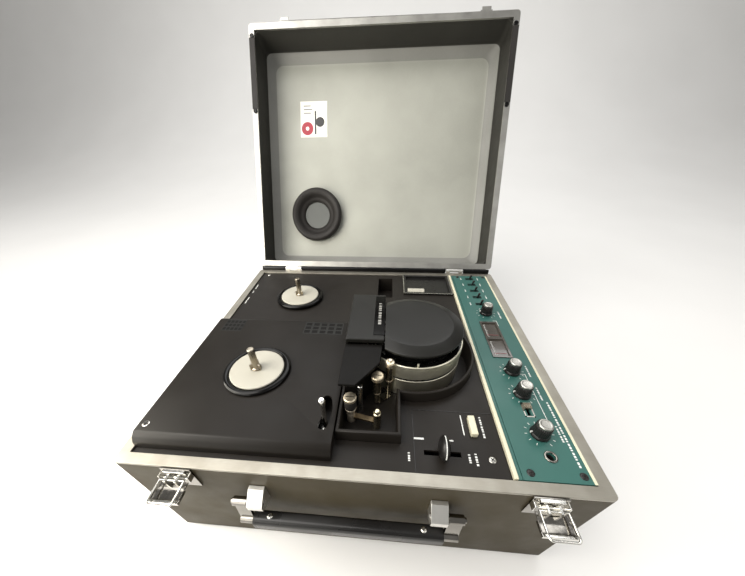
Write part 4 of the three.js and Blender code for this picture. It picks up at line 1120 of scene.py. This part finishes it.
def toggle(index):
    """Bat-handled switch that leans to its first position, in a rectangular surround."""
    node = "toggle_%d" % index
    pivot = Vector(JOINT[node + "_throw"]["pos_m"])
    bat = [(0, -1.9), (1.7, -0.8), (1.25, 1.5), (1.45, 6), (2, 10.6), (1.5, 11.8), (0, 12)]
    lean = 14
    flattening = 0.82
    bm = bmesh.new()
    lathe_into(bm, eased(bat, 0.7), Vector((0, 0, 0)), 24, 0)
    for v in bm.verts:
        v.co.y *= flattening
    bmesh.ops.rotate(bm, verts=bm.verts, matrix=Matrix.Rotation(math.radians(lean), 3, "Y"))
    bmesh.ops.translate(bm, verts=bm.verts, vec=pivot)
    stand_for(from_bmesh(node + "_bat", bm, "moulded"), node)
    seat = Vector((pivot.x, pivot.y, PANEL_TOP))
    half = mm(6.6, 3.2, 0)
    bars = surround(seat - half, seat + half + mm(0, 0, 0.35), 1.1 * MM, 1 * MM)
    trim(boxes(node + "_slot", bars, "moulded"), "case")


def slide_switch():
    """Ribbed slider in a bright surround."""
    low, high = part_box("slide_switch")
    x, y = (low.x + high.x) / 2, (low.y + high.y) / 2
    stem_top = Vector((x + 1.5 * MM, y + 2.5 * MM, PANEL_TOP + 1 * MM))
    parts = [(Vector((low.x, low.y, PANEL_TOP + 0.3 * MM)), high - mm(0, 0, 0.8)),
             (Vector((x - 1.5 * MM, y - 2.5 * MM, low.z)), stem_top)]
    for k in range(4):
        rib = low.y + (0.6 + 1.7 * k) * MM
        parts.append((Vector((low.x, rib, high.z - 1 * MM)), Vector((high.x, rib + 0.8 * MM, high.z))))
    stand_for(boxes("slide_switch_ribbed", parts, "nickel", edge=0.15 * MM), "slide_switch")
    bars = surround(at(173, -120, PANEL), at(183, -102, PANEL + 0.3), 1.2 * MM, 1.2 * MM)
    trim(boxes("slide_switch_surround", bars, "painted_dark_chrome"), "case")


def panel_trim():
    """Cream edging of the panel, with the panel's painted edge showing beside it."""
    low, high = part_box("panel_trim")
    seam = low.x + 3.6 * MM
    bm = bmesh.new()
    box_into(bm, low, Vector((seam, high.y, high.z)))
    box_into(bm, Vector((seam, low.y, low.z)), Vector((high.x, high.y, PANEL_TOP)), 1)
    stand_for(rounded(from_bmesh("panel_trim_edging", bm, "cream", "teal"), 0.5 * MM), "panel_trim")
    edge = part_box("control_panel")[1].x
    strip = (Vector((edge - 2.4 * MM, low.y, PANEL_TOP - MM)), Vector((edge, high.y, PANEL_TOP + 0.5 * MM)))
    trim(boxes("panel_outer_edging", [strip], "cream", edge=0.3 * MM), "case")


def stage_labels():
    """Two dull stickers on the platform, ruled into small fields."""
    near, far = -16, 10
    columns = 5
    field = 5.6
    for k, (x0, x1) in enumerate(((-196, -168), (-82, -29))):
        bm = bmesh.new()
        box_into(bm, at(x0, near, STAGE), at(x1, far, STAGE + PRINT))
        half = (x1 - x0) / 14
        for column in range(columns):
            x = x0 + (x1 - x0) * (column + 0.5) / columns
            for y in (near + 2, near + 10, near + 18):
                box_into(bm, at(x - half, y, STAGE + 0.1), at(x + half, y + field, STAGE + 0.2), 1)
        trim(from_bmesh("stage_label_%d" % k, bm, "cover", "head"), "case")


def jack_ring():
    """Threaded nut round the jack hole, with the dark barrel of the jack inside."""
    place = at(180, -162, PANEL)
    bore = 3.7
    nut = eased([(bore, -4), (bore, 0.8), (4.2, 1.1), (5.4, 1.1), (5.8, 0.6), (5.8, 0)], 0.3)
    trim(turned("jack_nut", nut, place, "painted_dark_chrome", segments=40), "case")
    barrel = [(bore - 0.05, 0), (bore - 0.05, -9), (0, -9)]
    trim(turned("jack_barrel", barrel, place, "rubber", segments=32), "case")


def meters():
    """Two dark meter dials with printed scales and needles, one above the other in one frame."""
    finished("meter_unit", 0.3 * MM)
    low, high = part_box("meter_unit")
    z = high.z - 1.9 * MM
    border = 2.6 * MM
    left, right = low.x + border, high.x - border
    mid = (low.y + high.y) / 2
    divider = 2.4 * MM
    rule = left + 2.5 * MM
    bm = bmesh.new()

    def mark(x0, y0, x1, y1, bottom, top_z, material=0):
        box_into(bm, Vector((x0, y0, z + bottom * MM)), Vector((x1, y1, z + top_z * MM)), material)

    for near, far in ((low.y + border, mid - divider), (mid + divider, high.y - border)):
        span = far - near
        for k in range(11):
            y = near + span * (0.1 + 0.08 * k)
            reach = 2.4 if k % 5 == 0 else 1.5
            mark(rule, y - 0.18 * MM, rule + reach * MM, y + 0.18 * MM, 0, 0.1)
        mark(rule - 0.3 * MM, near + span * 0.1, rule, near + span * 0.9, 0, 0.1)
        needle = near + span * 0.18
        mark(left + 1.5 * MM, needle, right - 2 * MM, needle + 0.35 * MM, 0.3, 0.5, 1)
    trim(from_bmesh("meter_scales", bm, "print", "red"), "case")


def counter():
    """Framed window with a white figure wheel in it."""
    finished("counter_unit", 0.4 * MM)
    low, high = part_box("counter_unit")
    edge = 1.3 * MM
    bars = surround(Vector((low.x, low.y, high.z - 0.4 * MM)), high + mm(0, 0, 0.2), edge, edge)[:3]
    trim(boxes("counter_bezel", bars, "chrome", edge=0.15 * MM), "case")
    drum_profile = [(0, -14), (6, -14), (6.6, -13), (6.6, 13), (6, 14), (0, 14)]
    wheel = turned("counter_wheel", eased(drum_profile, 0.6), Vector((0, 0, 0)), "white", segments=48)
    place = Vector((low.x + 21 * MM, low.y + 11 * MM, level(-3.4)))
    wheel.data.transform(Matrix.Translation(place) @ Matrix.Rotation(math.pi / 2, 4, "Y"))
    trim(wheel, "case")


def deck_prints():
    """Marks beside the function lever and the key, short rows along the left edge, and a seam."""
    lever = middle("function_lever") - RIM
    x, y = lever.x / MM, lever.y / MM
    marks = [((x - 26, y + 13), (x - 16, y + 15)), ((x + 8, y + 13), (x + 12, y + 14.4)),
             ((107.6, -144), (108.6, -121))]
    flat_marks("deck_marks", marks, DECK, PRINT, "print")
    rows = [
        ("lever_legend_left", x - 31, y - 1, 4, 1.8, 2),
        ("lever_legend_right", x + 24, y + 1, 4, 1.8, 2),
        ("lever_legend_far", x + 30, y + 2, 5, 1.8, 2),
        ("key_legend", 127, -122, 9, 2, 1.8),
    ]
    rows += [("edge_row_%d" % k, -204.5, start, count, 1.8, 1.6)
             for k, (start, count) in enumerate(((139, 6), (118, 3), (96, 6), (84, 3)))]
    for name, start_x, start_y, count, length, width in rows:
        dashes(name, at(start_x, start_y, DECK), count, length, width)
    seam = [((58.6, -184), (59, -117)), ((58.6, -117.4), (141, -117))]
    flat_marks("deck_seam", seam, DECK, 0.35, "moulded")


# ---- latches and handle ----
def latch_base(side):
    """Base plate with two ears, two bars and a bright window."""
    low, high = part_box("latch_plate_" + side)
    x = middle("latch_plate_" + side).x
    ear = 1.2 * MM
    bm = bmesh.new()
    box_into(bm, Vector((low.x, high.y - 1.5 * MM, low.z)), high, 1)
    for left in (low.x, high.x - ear):
        box_into(bm, Vector((left, low.y, high.z - 12 * MM)), Vector((left + ear, high.y, high.z - 4 * MM)))
    half = 9.8 * MM  # the bars stand between the sides of the wire loop
    for drop in (0.4, 9.4):
        bar = Vector((x - half, high.y - 4.2 * MM, high.z - (drop + 1.8) * MM))
        box_into(bm, bar, Vector((x + half, high.y - 1 * MM, high.z - drop * MM)))
    window = Vector((low.x + 4 * MM, high.y - 2.2 * MM, high.z - 8 * MM))
    box_into(bm, window, window + mm(13, 1.5, 5))
    plate = rounded(from_bmesh("latch_base_" + side, bm, "chrome", "painted_dark_chrome"), 0.4 * MM)
    stand_for(plate, "latch_plate_" + side)


def latch_dish(side):
    """Dished lever with a bright rolled end, two hooks for the loop and its pivot."""
    low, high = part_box("latch_lever_" + side)
    x = middle("latch_plate_" + side).x
    sections = [(0, 3.7, 14.2), (1, 3.7, 14.2), (2.2, 3.3, 14.2), (3.2, 1.5, 14.2), (4.5, 1.1, 14.2),
                (11.6, 1.1, 14.2), (12.6, 1.2, 12.6), (19, 1.2, 12.6)]  # run, height, half width
    wall = 3.2
    bm = bmesh.new()
    rings = []
    for run, rise, half in sections:
        edge = max(rise, wall) if half > 13 else rise
        spread = [-half, 0.9 - half, 1.6 - half, half - 1.6, half - 0.9, half]
        heights = [edge, edge, rise, rise, edge, edge]
        y = low.y + run * MM
        upper = [bm.verts.new((x + dx * MM, y, low.z + h * MM)) for dx, h in zip(spread, heights)]
        lower = [bm.verts.new((x + dx * MM, y, low.z)) for dx in reversed(spread)]
        rings.append(upper + lower)
    for row, (a, b) in enumerate(zip(rings, rings[1:])):
        ring_faces(bm, a, b, 0 if row < 3 else 1)
    bm.faces.new(rings[0])
    bm.faces.new(rings[-1])
    for dx in (-5, 5):
        hook = Vector((x + (dx - 1) * MM, high.y - 9 * MM, low.z))
        box_into(bm, hook, Vector((x + (dx + 1) * MM, high.y - 1 * MM, high.z)))
    pivot = Vector(JOINT["latch_lever_%s_pivot" % side]["pos_m"])
    rod_into(bm, 1.15, 2 * 14.1, pivot, "Y")
    rod_into(bm, 2.2, 15, pivot, "Y")
    lever = rounded(from_bmesh("latch_dish_" + side, bm, "chrome", "painted_dark_chrome"), 0.25 * MM, 2)
    stand_for(lever, "latch_lever_" + side)


def latch_wire(side):
    """Closed wire loop that lies on the lever and hooks over the lid's keeper."""
    low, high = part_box("latch_loop_" + side)
    hub = Vector(JOINT["latch_loop_%s_pivot" % side]["pos_m"])
    end = low.y + 1.2 * MM
    bend = 3 * MM
    left = hub.x - (high.x - low.x) / 2 + 0.9 * MM
    points = [Vector((left, hub.y, hub.z)), Vector((left, end + bend, hub.z))]
    for k in range(1, 7):
        a = math.radians(15 * k)
        points.append(Vector((left + bend - bend * math.cos(a), end + bend - bend * math.sin(a), hub.z)))
    mirrored = [Vector((2 * hub.x - p.x, p.y, p.z)) for p in reversed(points)]
    loop = wire("latch_wire_" + side, points + mirrored, 1.05 * MM, "chrome", cyclic=True)
    stand_for(loop, "latch_loop_" + side)


def handle():
    """Chromed swinging frame with a moulded grip screwed round its bar."""
    for side in ("left", "right"):
        finished("handle_bracket_" + side, 0.9 * MM, sharp=30, key="satin")
    finished("handle_frame", 0, sharp=50, key="painted_dark_chrome")
    low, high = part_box("handle_grip")
    section = [(high.y, low.z + 3 * MM), (high.y, high.z), (low.y + 3 * MM, high.z), (low.y, high.z - 4 * MM),
               (low.y, low.z + 3 * MM), (low.y + 3 * MM, low.z), (high.y - 2 * MM, low.z),
               (high.y, low.z + 3 * MM)]
    curve = eased(section, 2.6 * MM, 5)[:-1]
    ends = [[Vector((x, y, z)) for y, z in curve] for x in (low.x, high.x)]
    grip = rounded(loft("handle_grip_moulded", ends, "moulded", sharp=50), 0.6 * MM, 2, 60)
    stand_for(grip, "handle_grip")
    screws_x = (-79, 71)
    for k, x in enumerate(screws_x):
        place = Vector((at(x, 0).x, (low.y + high.y) / 2 + 1 * MM, high.z))
        screw("grip_screw_%d" % k, place, 3, "chrome", "handle", turn=0.7 * k)


def rear_details():
    """Threaded collars round the sockets of the connector panel."""
    finished("connector_panel", 0, sharp=40)
    profile = eased([(5, 0), (6.6, 0), (6.6, 2), (5, 2)], 0.3)
    face = CASE_D / MM / 2 - 0.6
    sockets = [(x, z) for x in (80, 98) for z in (-66, -86)]
    for k, (x, z) in enumerate(sockets):
        collar = turned("socket_collar_%d" % k, profile, Vector((0, 0, 0)), "steel", segments=32)
        collar.data.transform(Matrix.Translation(at(x, face, z)) @ Matrix.Rotation(-math.pi / 2, 4, "X"))
        trim(collar, "case")


# ---- everything else keeps the frame's shape ----
for name, edge in {"base_rim": 0.5, "foot_rail_left": 0.8, "foot_rail_right": 0.8}.items():
    finished(name, edge * MM)
for name in ("case_base", "deck_plate", "control_panel", "lid_strip_left", "lid_strip_right", "drive_motor",
             "drive_belt", "motor_pulley"):
    finished(name)
finished("lid_rim", 0.3 * MM, key="lid_edge")
for name in ("hinge_base_left", "hinge_base_right", "hinge_lid_left", "hinge_lid_right"):
    finished(name, key="satin")
lid_shell()
lid_cup()
strip_screws()
lid_label()
hinge_black_strip()
reel_stage()
stage_labels()
panel_trim()
for end in ("front", "rear"):
    reel_table(end)
    reel_spindle(end)
mechanism_tray()
head_cover()
drum()
head_rotor()
drum_cover()
tape_guides()
pinch_assembly()
capstan()
tension_arm()
function_lever()
record_key()
for number in range(1, 5):
    knob(number)
    knob_scale(number)
for number in range(1, 6):
    toggle(number)
slide_switch()
jack_ring()
meters()
counter()
panel_legends()
deck_prints()
deck_screws()
for end in ("left", "right"):
    latch_base(end)
    latch_dish(end)
    latch_wire(end)
handle()
rear_details()
